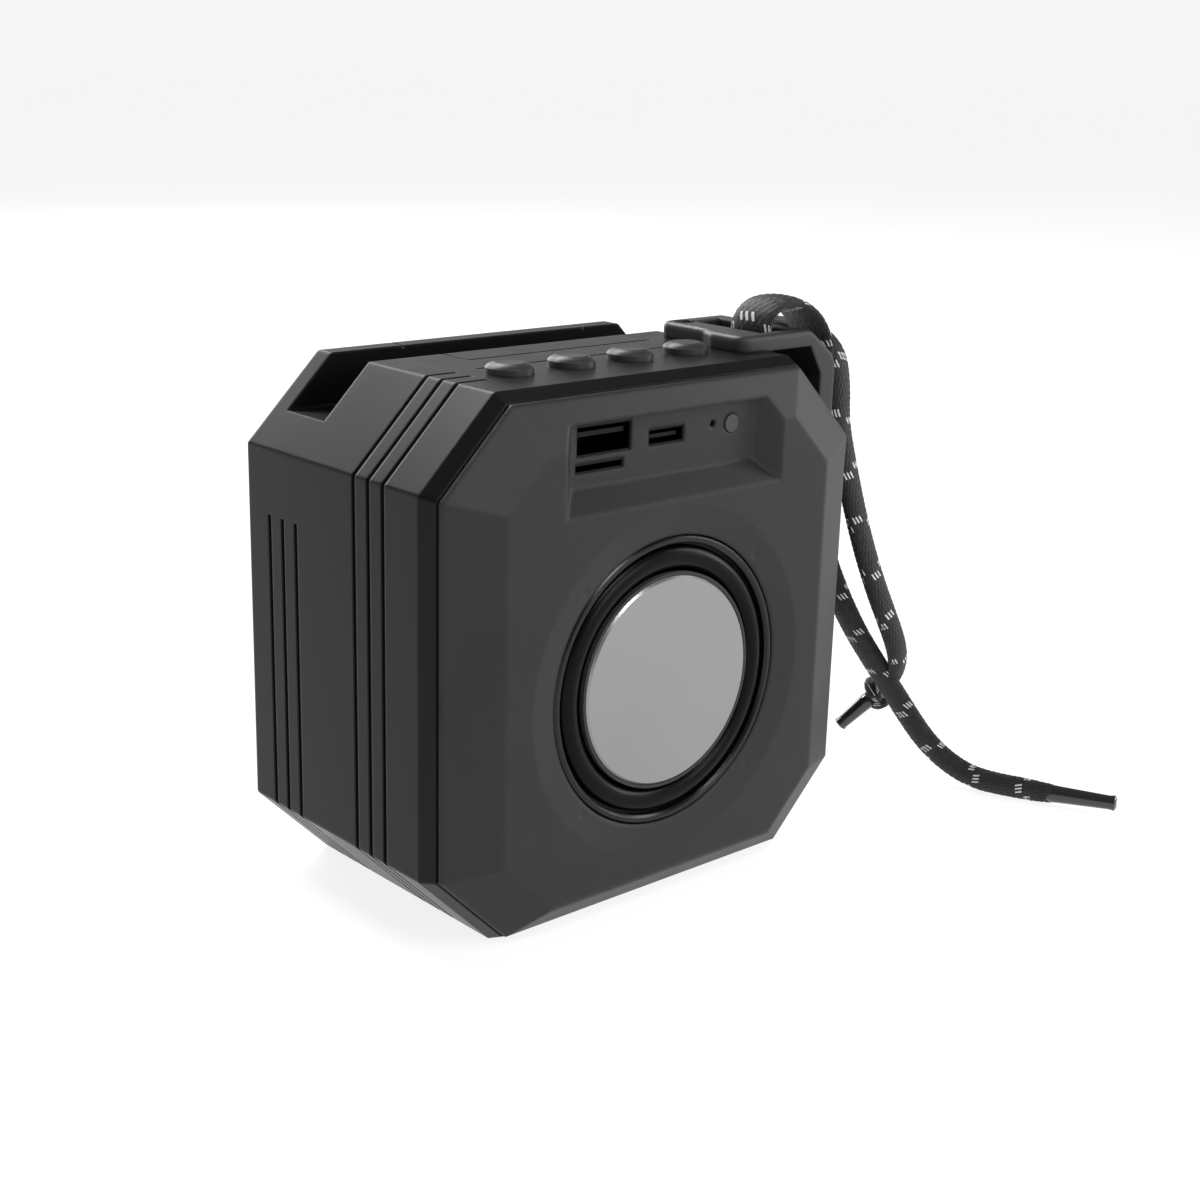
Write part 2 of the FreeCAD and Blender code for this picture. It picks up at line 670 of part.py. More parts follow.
def driver_basket():
    """The pressed frame: flange, conical wall with four windows, and the magnet's seat."""
    body = new_body("driver_basket")
    front, thick = flange_front(), dim("flange_thickness")
    seat = rim(dim("magnet_from_rim"))
    inner = dim("roll_outer") - dim("basket_lip")
    foot, hole = dim("magnet_radius") - dim("basket_seat"), dim("coil_radius") + 2 * dim("basket_seat")
    profile = [
        (front, inner), (front, dim("flange_radius")), (front + thick, dim("flange_radius")),
        (front + thick, inner + thick), (seat - thick, foot), (seat, foot), (seat, hole),
        (seat - thick, hole), (seat - thick, foot - thick), (front + thick, inner)]
    at, wide = dim("driver_height"), dim("window_half")
    revolve(body, "Revolution", "frame", profile, at)
    reach = dim("flange_radius") + dim("flange_play")
    low, high = front + thick + dim("window_front"), seat - thick - dim("basket_seat")
    pocket(body, "side_windows", [rectangle(low, high, at - wide, at + wide)], -reach, reach,
           "YZ_Plane")
    pocket(body, "upright_windows", [rectangle(-wide, wide, low, high)], at - reach, at + reach,
           "XY_Plane")
    pocket(body, "screw_holes", clearances(driver_screw_places(), "driver_screw"), front,
           front + thick)
    return keep(body)


def driver_screws():
    return screws_along_depth("driver_screws", "driver", driver_screw_places(),
                              flange_front() + dim("flange_thickness"))


def terminal_strip():
    """The insulated tag strip at the top of the loudspeaker's frame."""
    front, half = flange_front() + dim("flange_thickness"), dim("strip_half")
    return keep(box("terminal_strip", -half, half, front, front + dim("strip_thickness"),
                    dim("strip_low"), dim("strip_high")))


def surround():
    """The rubber half roll between the frame and the cone."""
    back = flange_front()
    inner, outer, rise = dim("roll_inner"), dim("roll_outer"), dim("roll_height")
    skin = dim("roll_skin")
    quarter = (outer - inner) / 4
    ridge = [(back, inner), (back - rise * 0.7, inner + quarter * 0.6),
             (back - rise, inner + quarter * 2), (back - rise * 0.7, outer - quarter * 0.6),
             (back - skin, outer)]
    under = [(back, outer), (back, outer - quarter * 0.6),
             (back - rise * 0.7 + skin, outer - quarter * 1.1),
             (back - rise + skin, inner + quarter * 2),
             (back - rise * 0.7 + skin, inner + quarter * 1.1), (back, inner + quarter * 0.5)]
    return turned("surround_roll", ridge + under)


def disc_front():
    return FRONT - dim("panel_raise") + dim("disc_setback")


def centre_disc():
    """The flat round plate at the middle of the loudspeaker."""
    front, radius = disc_front(), dim("disc_radius")
    back = front + dim("disc_thickness")
    ease = dim("disc_ease")
    return turned("centre_disc", [(front, 0), (front, radius - ease), (front + ease, radius),
                                  (back, radius), (back, 0)])


def cone():
    """The cone from the disc's edge back to the voice coil."""
    front = disc_front() + dim("disc_thickness")
    neck, skin = dim("coil_radius"), dim("cone_skin")
    edge, seat = dim("roll_inner") - dim("roll_gap"), dim("disc_radius") + dim("cone_gap")
    lip = front - dim("cone_lip")
    throat = front + dim("cone_depth")
    end = throat + dim("neck_length")
    return turned("cone", [
        (lip, seat), (lip, edge), (front + skin, edge), (throat, neck + skin), (end, neck + skin),
        (end, neck), (throat, neck), (front + skin, seat - skin), (front, seat - skin),
        (front, seat)])


def coil_former():
    start = disc_front() + dim("disc_thickness") + dim("former_start")
    radius, wall = dim("coil_radius"), dim("former_wall")
    return turned("coil_former", [(start, radius - wall), (start, radius), (coil_end(), radius),
                                  (coil_end(), radius - wall)])


def coil_end():
    return rim(dim("magnet_from_rim")) + dim("coil_reach")


def voice_coil():
    end, radius = coil_end(), dim("coil_radius")
    start, outer = end - dim("winding_length"), radius + dim("winding_wall")
    return turned("voice_coil", [(start, radius), (start, outer), (end, outer), (end, radius)])


def spider():
    """The corrugated ring that centres the coil."""
    at = rim(dim("magnet_from_rim")) - dim("spider_from_seat")
    inner = dim("coil_radius") + dim("winding_wall") + dim("spider_gap")
    outer = dim("magnet_radius") - 2 * dim("basket_seat") - dim("spider_skin")
    height, count = dim("spider_wave"), 6
    wave = [(at + (height if n % 2 else -height), inner + (outer - inner) * n / count)
            for n in range(count + 1)]
    return turned("spider", wave + [(y + dim("spider_skin"), r) for y, r in reversed(wave)])


def magnet_parts():
    """Front plate, ring magnet and the back plate with its pole."""
    seat, plate = rim(dim("magnet_from_rim")), dim("plate_thickness")
    bore = dim("coil_radius") + dim("winding_wall") + dim("coil_gap")
    pole = dim("coil_radius") - dim("former_wall") - dim("coil_gap")
    outer, inset = dim("magnet_radius"), dim("plate_inset")
    behind = seat + plate
    back = behind + dim("magnet_thickness")
    turned("magnet_front_plate", [(seat, bore), (seat, outer - inset), (behind, outer - inset),
                                  (behind, bore)])
    turned("ring_magnet", [(behind, bore + inset), (behind, outer), (back, outer),
                           (back, bore + inset)])
    turned("yoke", [(seat, 0), (seat, pole), (back, pole), (back, outer - inset),
                    (back + plate, outer - inset), (back + plate, 0)])


# ---------------------------------------------------------------- boards and sockets

def board_screw_places():
    reach = dim("board_half") - dim("board_screw_inset")
    return [(side * reach, rim(dim("board_screw_from_rim"))) for side in (-1, 1)]


def main_board():
    top, thick = below_top("board_top_drop"), dim("board_thickness")
    start = rim(dim("panel_plug") + dim("board_gap"))
    half, radius = dim("board_half"), dim("board_screw") + dim("screw_play")
    board = box("main_board_blank", -half, half, start, start + dim("board_depth"),
                top - thick, top)
    holes = [cylinder(f"main_board_hole{n}", x, y, top - thick, radius, thick)
             for n, (x, y) in enumerate(board_screw_places())]
    return keep(cut("main_board", board, *holes))


def board_screws():
    low, height = below_top("board_top_drop") - dim("board_thickness"), dim("board_head_height")
    screws = []
    for number, (x, y) in enumerate(board_screw_places()):
        head = cylinder(f"board_screw_head{number}", x, y, low - height, dim("board_head"), height)
        shank = cylinder(f"board_screw_shank{number}", x, y, low, dim("board_screw"),
                         dim("board_screw_length"))
        screws.append(fuse(f"board_screw{number}", head, shank))
    return keep(group("board_screws", screws))


def hollow_socket(name, key, length, tongue):
    """A metal shell with a tongue inside, its mouth at the pocket's floor."""
    x, z, a, b = port_places()[key]
    mouth, back = FRONT - dim("pocket_floor") + dim("socket_setback"), dim("socket_back")
    end = mouth + length
    a, b = a - dim("socket_gap"), b - dim("socket_gap")
    wall = dim("socket_wall")
    shell = box(f"{name}_block", x - a, x + a, mouth, end, z - b, z + b)
    room = box(f"{name}_room", x - a + wall, x + a - wall, mouth, end - back,
               z - b + wall, z + b - wall)
    hollow = cut(f"{name}_shell", shell, room)
    if tongue:
        half, low, high = tongue
        blade = box(f"{name}_tongue", x - half, x + half, mouth + back, end - back / 2,
                    z + low, z + high)
        hollow = fuse(name, hollow, blade)
    hollow.Label = name
    return keep(hollow)


def sockets():
    """The three sockets; a tongue is given by its half width and its low and high sides."""
    half_usb, half_plug = dim("usb_width") / 2, dim("plug_width") / 2
    inset, half = dim("tongue_inset"), dim("tongue_half")
    usb_tongue = (half_usb - inset, dim("usb_tongue_low"), dim("usb_tongue_low") + 2.5 * half)
    hollow_socket("usb_a_socket", "usb", dim("usb_length"), usb_tongue)
    hollow_socket("usb_c_socket", "plug", dim("plug_length"), (half_plug - inset, -half, half))
    hollow_socket("card_socket", "card", dim("card_length"), None)


def microphone():
    return keep(cylinder("microphone", dim("microphone_place"), rim(dim("panel_plug")),
                         below_top("microphone_height_drop"), dim("capsule_radius"), dim("capsule_length"),
                         "y"))


def lamp():
    """The status lamp: a clear lens in the panel and its chip on the board."""
    x, z = dim("lamp_place"), below_top("lamp_height_drop")
    mouth, back = FRONT - dim("pocket_floor") - dim("lamp_proud"), rim(dim("panel_plug"))
    radius, half = dim("lamp_radius") - dim("socket_gap"), dim("lamp_chip_half")
    keep(cylinder("lamp_lens", x, mouth, z, radius, back - mouth, "y"))
    start = back + dim("board_gap")
    return keep(box("lamp_chip", x - half, x + half, start, start + dim("lamp_chip_depth"),
                    below_top("board_top_drop"), z + half))


def board_chips():
    top = below_top("board_top_drop")
    low = top - dim("board_thickness")
    radio_left, radio_front, radio = dim("radio_left"), rim(dim("radio_from_rim")), dim("radio_side")
    keep(box("radio_module", radio_left, radio_left + radio, radio_front, radio_front + radio,
             top, top + dim("chip_height")))
    half, middle = dim("amplifier_half"), rim(dim("amplifier_from_rim"))
    keep(box("amplifier_chip", -half, half, middle - half, middle + half,
             low - dim("chip_height"), low))
    height, reach = dim("capacitor_height"), dim("capacitor_place")
    cans = [cylinder(f"capacitor{n}", x, rim(dim("capacitor_from_rim")), low - height,
                     dim("capacitor_radius"), height) for n, x in enumerate((-reach, reach))]
    return keep(group("capacitors", cans))


def key_board_parts():
    """The narrow board under the buttons, its four switches and the two pin headers below it."""
    top, half = below_top("key_board_top_drop"), dim("key_board_half")
    thick = dim("board_thickness")
    at = rim(dim("button_from_rim"))
    depth = dim("key_board_width") / 2
    keep(box("key_board", -half, half, at - depth, at + depth, top - thick, top))
    reach = dim("switch_size") / 2
    switches = [box(f"switch{n}", x - reach, x + reach, at - reach, at + reach,
                    top, top + dim("switch_height")) for n, x in enumerate(button_places())]
    keep(group("key_switches", switches))
    wide, long, place = dim("header_width") / 2, dim("header_length") / 2, half - dim("header_inset")
    pins = [box(f"header{n}", x - wide, x + wide, at - long, at + long,
                below_top("board_top_drop"), top - thick)
            for n, x in enumerate((-place, place))]
    return keep(group("board_headers", pins))


# ---------------------------------------------------------------- buttons

def buttons():
    """Four domed rubber keys, each with a flange under the wall and a stem over its switch."""
    at = rim(dim("button_from_rim"))
    radius, rise = dim("button_radius"), dim("button_rise")
    under = TOP - WALL - dim("button_clear")
    flange, stem, edge = under - dim("button_flange"), at + dim("button_stem"), at + radius
    lip = edge + dim("button_lip")
    stem_low = (below_top("key_board_top_drop") + dim("switch_height") + dim("button_travel")
                + dim("stem_gap"))
    outline = [
        (at, stem_low), (stem, stem_low), (stem, flange), (lip, flange), (lip, under),
        (edge, under), (edge, TOP + rise * 0.45), (at + radius * 0.82, TOP + rise * 0.86),
        (at + radius * 0.45, TOP + rise), (at, TOP + rise)]
    for number, x in enumerate(button_places(), start=1):
        body = new_body(f"button_{number}")
        sketch = new_sketch(body, "profile", "YZ_Plane", x, 0)
        draw_outline(sketch, outline)
        feature = body.newObject("PartDesign::Revolution", f"button_{number}_turned")
        feature.Profile = sketch
        axis = sketch.addGeometry(
            Part.LineSegment(FreeCAD.Vector(at.value, 0, 0), FreeCAD.Vector(at.value, 1, 0)), True)
        sketch.addConstraint(Sketcher.Constraint("Vertical", axis))
        pin_point(sketch, axis, 1, at, 0)
        feature.ReferenceAxis = (sketch, ["Axis0"])
        feature.Angle = 360
        keep(body)


# ---------------------------------------------------------------- power cell

def power_cell():
    """A cylindrical cell that lies across the bottom, in a holder with a contact at each end."""
    radius, length = dim("cell_radius"), dim("cell_length")
    wall, play = dim("holder_wall"), dim("cell_play")
    y = rim(dim("cell_from_rim"))
    z = WALL + wall + radius + play / 3
    end = length / 2
    keep(cylinder("power_cell", -end, y, z, radius, length, "x"))
    inner_end, inner_side = end + play, radius + play / 2
    block = box("holder_block", -inner_end - wall, inner_end + wall, y - inner_side - wall,
                y + inner_side + wall, WALL, z + radius / 3)
    room = box("holder_room", -inner_end, inner_end, y - inner_side, y + inner_side,
               WALL + wall, z + radius)
    keep(cut("cell_holder", block, room))
    thick, reach = dim("contact_thickness"), dim("contact_reach")
    tabs = [box(f"tab{n}", x, x + thick, y - reach, y + reach, z - reach, z + reach)
            for n, x in enumerate((-end - thick, end))]
    return keep(group("cell_contacts", tabs))


# ---------------------------------------------------------------- strap lug

def lug_screw_place():
    inset = dim("lug_screw_inset")
    return dim("lug_left") + dim("lug_step") + inset, rim(dim("lug_front") + dim("lug_width") - inset)


def strap_lug():
    """A stiff rubbery band that bridges the top right corner, with a slot for the cord."""
    body = new_body("strap_lug")
    left, thick = dim("lug_left"), dim("lug_thickness")
    over = TOP + thick
    side = HALF + dim("lug_wall")
    low, shoulder = below_top("lug_bottom_drop"), TOP - dim("lug_corner_drop")
    bend, bevel = dim("lug_corner_bend"), dim("lug_bevel")
    profile = [
        (left, TOP), (HALF - dim("lug_inner_x"), TOP), (HALF, TOP - dim("lug_inner_drop")),
        (HALF, low), (side, low + dim("lug_wall")), (side, shoulder),
        (side - bend, shoulder + 2 * bend), (side - bevel, over), (left, over)]
    start, end = rim(dim("lug_front")), rim(dim("lug_front") + dim("lug_width"))
    pad(body, "band", [profile], start, end)
    step, step_from = dim("lug_step"), start + dim("lug_step_from")
    notch = [(left - step, step_from), (left, step_from), (left + step, step_from + 2 * step),
             (left + step, end + step), (left - step, end + step)]
    pocket(body, "side_step", [notch], TOP, over, "XY_Plane")

    def upright_at_left(edge):
        ends = [vertex.Point for vertex in edge.Vertexes]
        level = len(ends) == 2 and near(ends[0].x, ends[1].x) and near(ends[0].y, ends[1].y)
        return level and (near(ends[0].x, left) or near(ends[0].x, left + step))

    dress(body, "Fillet", "plan_corners", upright_at_left, Radius=dim("lug_plan_round"))
    dress(body, "Fillet", "top_rim", lambda e: all(near(v.Point.z, over) for v in e.Vertexes),
          Radius=dim("lug_rim_round"))
    slot_x, slot_half = dim("lug_slot_x"), dim("lug_slot_width") / 2
    slot_start = rim(dim("lug_slot_front"))
    slot_end = slot_start + dim("lug_slot_length")
    slot = rectangle(slot_x - slot_half, slot_x + slot_half, slot_start, slot_end)
    pocket(body, "top_slot", [slot], TOP, over, "XY_Plane")
    seat, place = TOP + dim("lug_seat"), [lug_screw_place()]
    pocket(body, "screw_seat", circles(place, dim("lug_head") + dim("screw_play")), seat, over,
           "XY_Plane")
    pocket(body, "screw_hole", clearances(place, "lug_screw"), TOP, seat, "XY_Plane")
    return keep(body)


def lug_screw():
    x, y = lug_screw_place()
    seat, length = TOP + dim("lug_seat"), dim("lug_screw_length")
    head = cylinder("lug_screw_head", x, y, seat, dim("lug_head"), dim("lug_head_height"))
    shank = cylinder("lug_screw_shank", x, y, seat - length, dim("lug_screw"), length)
    return keep(fuse("lug_screw", head, shank))


# ---------------------------------------------------------------- cord

KNOT_TO_TIP = (-0.55, 0.45, -0.70)  # the way the short end points out of the knot
# The upper length rises through the lug's slot, arches over the corner and hangs down to the surface.
UPPER_ROUTE = [
    (46.6, -10.5, 97.1), (43.6, -10.6, 99.3), (41.3, -10.8, 102.7), (41.6, -10.7, 107.1),
    (44.9, -10.5, 109.9), (49.1, -10.4, 110.4), (53.4, -10.5, 109.4), (57.3, -10.5, 106.9),
    (60.4, -10.4, 102.7), (62.2, -10.0, 96.1), (62.4, -9.6, 87.2), (62.0, -9.9, 76.8),
    (62.7, -11.5, 66.0), (64.7, -13.2, 55.4), (68.5, -15.0, 45.8), (73.2, -16.4, 37.2),
    (78.3, -18.0, 29.5), (83.0, -20.1, 22.3), (86.4, -22.8, 15.8), (88.9, -26.1, 10.3),
    (91.3, -30.4, 6.1), (93.7, -35.8, 3.3), (96.0, -41.8, 2.7), (98.4, -47.7, 2.7),
    (101.0, -53.2, 2.8),
]
# The lower length leaves the hollow under the lug by its rear end, turns round the lug's rear
# corner, crosses outside the first and ends in the knot.
LOWER_ROUTE = [
    (47.2, -5.2, 96.8), (47.5, -1.9, 96.7), (48.1, 2.4, 96.7), (49.2, 6.9, 97.1),
    (50.5, 10.8, 97.7), (53.4, 14.0, 98.8), (57.9, 14.7, 100.6), (61.8, 12.0, 101.9),
    (64.2, 7.5, 102.5), (65.6, 2.6, 102.7), (66.8, -2.1, 102.5), (67.7, -6.6, 101.5),
    (67.7, -10.9, 98.2), (66.3, -13.7, 92.2), (65.3, -14.9, 84.2), (66.3, -16.8, 75.3),
    (67.9, -18.6, 65.9), (69.9, -20.5, 56.7), (72.5, -22.3, 48.1), (75.6, -23.5, 40.9),
    (78.5, -23.8, 35.3), (81.1, -23.0, 30.7), (83.1, -21.1, 26.6), (84.5, -18.4, 23.3),
    (85.4, -15.6, 20.6),
]


def bend_radii(points):
    """Each inner point's arc: 0.45 of its shorter run over the tangent of half the turn."""
    radii = []
    for before, here, after in zip(points, points[1:], points[2:]):
        arriving, leaving = here - before, after - here
        half_turn = arriving.getAngle(leaving) / 2
        radii.append(0.45 * min(arriving.Length, leaving.Length) / math.tan(half_turn))
    return radii


def cord_tube(name, route, radius):
    """A round tube along straight runs joined by tangent arcs, with its volume checked."""
    points = [FreeCAD.Vector(*point) for point in route]
    radii = bend_radii(points)
    edges, start = [], points[0]
    for before, here, after, bend in zip(points, points[1:], points[2:], radii):
        arriving, leaving = (here - before).normalize(), (after - here).normalize()
        half_turn = arriving.getAngle(leaving) / 2
        reach = bend * math.tan(half_turn)
        enter, leave = here - arriving * reach, here + leaving * reach
        inward = (leaving - arriving).normalize()
        middle = here + inward * (bend / math.cos(half_turn) - bend)
        edges.append(Part.LineSegment(start, enter).toShape())
        edges.append(Part.Arc(enter, middle, leave).toShape())
        start = leave
    edges.append(Part.LineSegment(start, points[-1]).toShape())
    path = Part.Wire(edges)
    along = (points[1] - points[0]).normalize()
    section = Part.Wire([Part.makeCircle(radius, points[0], along)])
    thing = doc.addObject("Part::Feature", name)
    thing.Label = name
    thing.Shape = path.makePipeShell([section], True, False)
    ratio = thing.Shape.Volume / (math.pi * radius ** 2 * path.Length)
    print(f"{name}: length {path.Length:.1f} mm, volume {ratio:.4f} of section x length,"
          f" radii {', '.join(f'{bend:.0f}' for bend in radii)} mm")
    if abs(ratio - 1) > 0.02:
        raise RuntimeError(f"{name} has the wrong volume")
    return keep(thing)


def beyond(route, distance):
    """The point this far past the end of a route, in line with its last run."""
    last, before = FreeCAD.Vector(*route[-1]), FreeCAD.Vector(*route[-2])
    return last + (last - before).normalize() * distance


def rod(name, start, end, radius, length):
    """A round bar that starts at a point and runs on in the direction from start to end."""
    thing = doc.addObject("Part::Cylinder", name)
    thing.Label = name
    bind(thing, "Radius", radius)
    bind(thing, "Height", length)
    thing.Placement = FreeCAD.Placement(start, FreeCAD.Rotation(FreeCAD.Vector(0, 0, 1), end - start))
    return thing


def ball(name, centre, radius):
    thing = doc.addObject("Part::Sphere", name)
    thing.Label = name
    bind(thing, "Radius", radius)
    thing.Placement.Base = centre
    return thing


def cord_parts():
    """The two hanging lengths of the cord, the knot that ties them and the two end tips."""
    radius = dim("cord_diameter").value / 2
    cord_tube("cord_upper", UPPER_ROUTE, radius)
    cord_tube("cord_lower", LOWER_ROUTE, radius)
    start = FreeCAD.Vector(*UPPER_ROUTE[-1])
    keep(rod("cord_tip_long", start, beyond(UPPER_ROUTE, 1), dim("tip_radius"), dim("tip_length")))
    centre = beyond(LOWER_ROUTE, dim("knot_radius").value * 0.45)
    keep(ball("cord_knot", centre, dim("knot_radius")))
    toward = centre + FreeCAD.Vector(*KNOT_TO_TIP)
    whole = rod("short_tip_rod", centre, toward, dim("tip_radius"),
                dim("knot_radius") + dim("short_tip_length"))
    inside = ball("short_tip_ball", centre, dim("knot_radius"))
    keep(cut("cord_tip_short", whole, inside))


# ---------------------------------------------------------------- assembly

def check_document():
    """Stop if any object of the document failed, or a sub-part has no valid shape."""
    doc.recompute()
    for thing in doc.Objects:
        if any(word in thing.State for word in ("Invalid", "Error")):
            raise RuntimeError(f"{thing.Name} is {thing.State}")
    for thing in nodes:
        if thing.Shape.isNull() or not thing.Shape.isValid():
            raise RuntimeError(f"{thing.Label} has no valid shape")


def main():
    housing_shell()
    rear_cover()
    rear_cover_screws()
    front_panel()
    panel_screws()
    driver_gasket()
    trim_ring()
    driver_basket()
    driver_screws()
    terminal_strip()
    surround()
    centre_disc()
    cone()
    coil_former()
    voice_coil()
    spider()
    magnet_parts()
    main_board()
    board_screws()
    sockets()
    microphone()
    lamp()
    board_chips()
    key_board_parts()
    buttons()
    power_cell()
    strap_lug()
    lug_screw()
    cord_parts()
    check_document()
    for thing in nodes:
        thing.Shape.exportStep(f"parts/{thing.Label}.step")
        print(thing.Label, [round(length, 1) for length in (
            thing.Shape.BoundBox.XMin, thing.Shape.BoundBox.XMax, thing.Shape.BoundBox.YMin,
            thing.Shape.BoundBox.YMax, thing.Shape.BoundBox.ZMin, thing.Shape.BoundBox.ZMax)],
            len(thing.Shape.Solids))


main()
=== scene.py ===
# A small octagonal loudspeaker with a strap lug, a phone slot and a braided cord, in metres.
import math

import bpy
from mathutils import Matrix, Vector


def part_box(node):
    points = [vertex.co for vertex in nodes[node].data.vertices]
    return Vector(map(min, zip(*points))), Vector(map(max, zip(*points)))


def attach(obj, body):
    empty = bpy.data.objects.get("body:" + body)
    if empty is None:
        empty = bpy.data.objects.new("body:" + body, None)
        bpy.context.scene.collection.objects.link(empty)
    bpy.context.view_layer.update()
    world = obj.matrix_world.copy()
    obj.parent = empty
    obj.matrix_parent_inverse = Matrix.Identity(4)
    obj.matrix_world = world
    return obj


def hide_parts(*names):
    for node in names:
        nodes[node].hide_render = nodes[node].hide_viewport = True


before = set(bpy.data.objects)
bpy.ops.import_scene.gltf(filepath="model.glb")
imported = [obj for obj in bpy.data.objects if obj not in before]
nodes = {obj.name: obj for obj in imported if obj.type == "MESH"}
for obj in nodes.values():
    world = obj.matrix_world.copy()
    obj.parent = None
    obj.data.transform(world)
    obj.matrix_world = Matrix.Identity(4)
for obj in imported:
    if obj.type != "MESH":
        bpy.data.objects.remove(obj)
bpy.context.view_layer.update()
scene = bpy.context.scene

# camera and light

cameraSettings = {
    "place": (-0.23187, -0.27075, 0.15946),
    "yaw": 0.7335, "pitch": 0.2898, "roll": 0.0268,
    "lens": 55.83, "sensor": 36.0,
}

lampSettings = {
    # name: place, point it looks at, width, height, watts
    "frontSoftbox": ((0.30, -1.30, 0.60), (0.0, 0.0, 0.05), 0.7, 0.5, 6.5),
    "frontTop": ((-0.15, -0.85, 1.25), (0.0, 0.0, 0.08), 0.7, 0.25, 8.0),
    "topSoftbox": ((0.05, 0.75, 0.95), (0.0, 0.0, 0.10), 0.8, 0.30, 14.0),
    "rightFill": ((1.10, -0.50, 0.45), (0.05, 0.0, 0.05), 0.35, 0.8, 6.0),
    "rearFill": ((0.15, 1.30, 0.50), (0.0, 0.0, 0.05), 0.9, 0.5, 8.0),
}


def makeCamera(s):
    yaw, pitch, roll = s["yaw"], s["pitch"], s["roll"]
    ahead = Vector((math.sin(yaw) * math.cos(pitch), math.cos(yaw) * math.cos(pitch), -math.sin(pitch)))
    level = Vector((math.cos(yaw), -math.sin(yaw), 0.0))
    above = level.cross(ahead)
    right = math.cos(roll) * level + math.sin(roll) * above
    up = math.cos(roll) * above - math.sin(roll) * level
    data = bpy.data.cameras.new("camera")
    data.lens, data.sensor_width = s["lens"], s["sensor"]
    data.clip_start = 0.01
    camera = bpy.data.objects.new("camera", data)
    scene.collection.objects.link(camera)
    turn = Matrix((right, up, -ahead)).transposed().to_4x4()
    camera.matrix_world = Matrix.Translation(Vector(s["place"])) @ turn
    scene.camera = camera


def makeLamp(name, place, target, width, height, watts):
    data = bpy.data.lights.new(name, "AREA")
    data.shape, data.size, data.size_y, data.energy = "RECTANGLE", width, height, watts
    lamp = bpy.data.objects.new(name, data)
    scene.collection.objects.link(lamp)
    look = Vector(target) - Vector(place)
    lamp.matrix_world = Matrix.Translation(Vector(place)) @ look.to_track_quat("-Z", "Y").to_matrix().to_4x4()


# shader building


class Value:
    # a socket that arithmetic can be done on
    def __init__(self, sheet, socket):
        self.sheet, self.socket = sheet, socket

    def sum(self, operation, first, second):
        return self.sheet.node("ShaderNodeMath", {"operation": operation}, {0: first, 1: second})

    def __add__(self, other):
        return self.sum("ADD", self, other)

    def __radd__(self, other):
        return self.sum("ADD", other, self)

    def __sub__(self, other):
        return self.sum("SUBTRACT", self, other)

    def __rsub__(self, other):
        return self.sum("SUBTRACT", other, self)

    def __mul__(self, other):
        return self.sum("MULTIPLY", self, other)

    def __rmul__(self, other):
        return self.sum("MULTIPLY", other, self)

    def __truediv__(self, other):
        return self.sum("DIVIDE", self, other)

    def __gt__(self, other):
        return self.sum("GREATER_THAN", self, other)

    def __lt__(self, other):
        return self.sum("LESS_THAN", self, other)

    def part(self):
        return self.sheet.node("ShaderNodeMath", {"operation": "FRACT"}, {0: self})

    def whole(self):
        return self.sheet.node("ShaderNodeMath", {"operation": "FLOOR"}, {0: self})

    def wave(self):
        return self.sheet.node("ShaderNodeMath", {"operation": "SINE"}, {0: self * (2 * math.pi)})


class Finish:
    # one material; constants go straight on the shader's sockets
    def __init__(self, name, roughness=0.5, **constants):
        self.material = bpy.data.materials.new(name)
        self.material.use_nodes = True
        self.tree = self.material.node_tree
        self.shader = self.tree.nodes["Principled BSDF"]
        self.shader.inputs["Roughness"].default_value = roughness
        for socket, value in constants.items():
            self.shader.inputs[socket.replace("_", " ")].default_value = value
        self.place = self.node("ShaderNodeTexCoord", {}, {}, "Object")

    def node(self, kind, settings, sockets, output=0):
        made = self.tree.nodes.new(kind)
        for key, value in settings.items():
            if key == "stops":
                for index, (at, colour) in enumerate(value):
                    stop = made.color_ramp.elements[index] if index < 2 else made.color_ramp.elements.new(at)
                    stop.position, stop.color = at, colour
            else:
                setattr(made, key, value)
        for key, value in sockets.items():
            if isinstance(value, Value):
                self.tree.links.new(value.socket, made.inputs[key])
            else:
                made.inputs[key].default_value = value
        return Value(self, made.outputs[output])

    def feed(self, socket, value):
        self.tree.links.new(value.socket, self.shader.inputs[socket])

    def noise(self, scale, detail=3.0, stretch=(1, 1, 1)):
        spread = self.node("ShaderNodeMapping", {}, {"Vector": self.place, "Scale": stretch})
        return self.node("ShaderNodeTexNoise", {},
                         {"Vector": spread, "Scale": scale, "Detail": detail}, "Fac")

    def ramp(self, factor, *stops):
        return self.node("ShaderNodeValToRGB", {"stops": stops}, {"Fac": factor}, "Color")

    def mix(self, factor, first, second):
        return self.node("ShaderNodeMix", {"data_type": "RGBA"}, {0: factor, 6: first, 7: second}, 2)

    def axes(self):
        split = self.tree.nodes.new("ShaderNodeSeparateXYZ")
        self.tree.links.new(self.place.socket, split.inputs[0])
        return [Value(self, split.outputs[k]) for k in range(3)]

    def bump(self, height, depth, strength=1.0, softened=0.0):
        sockets = {"Height": height, "Distance": depth, "Strength": strength}
        if softened:
            sockets["Normal"] = self.node("ShaderNodeBevel", {"samples": 6}, {"Radius": softened})
        self.feed("Normal", self.node("ShaderNodeBump", {}, sockets))


def grey(level, warm=0.0):
    return (level * (1 + warm), level, level * (1 - warm), 1.0)


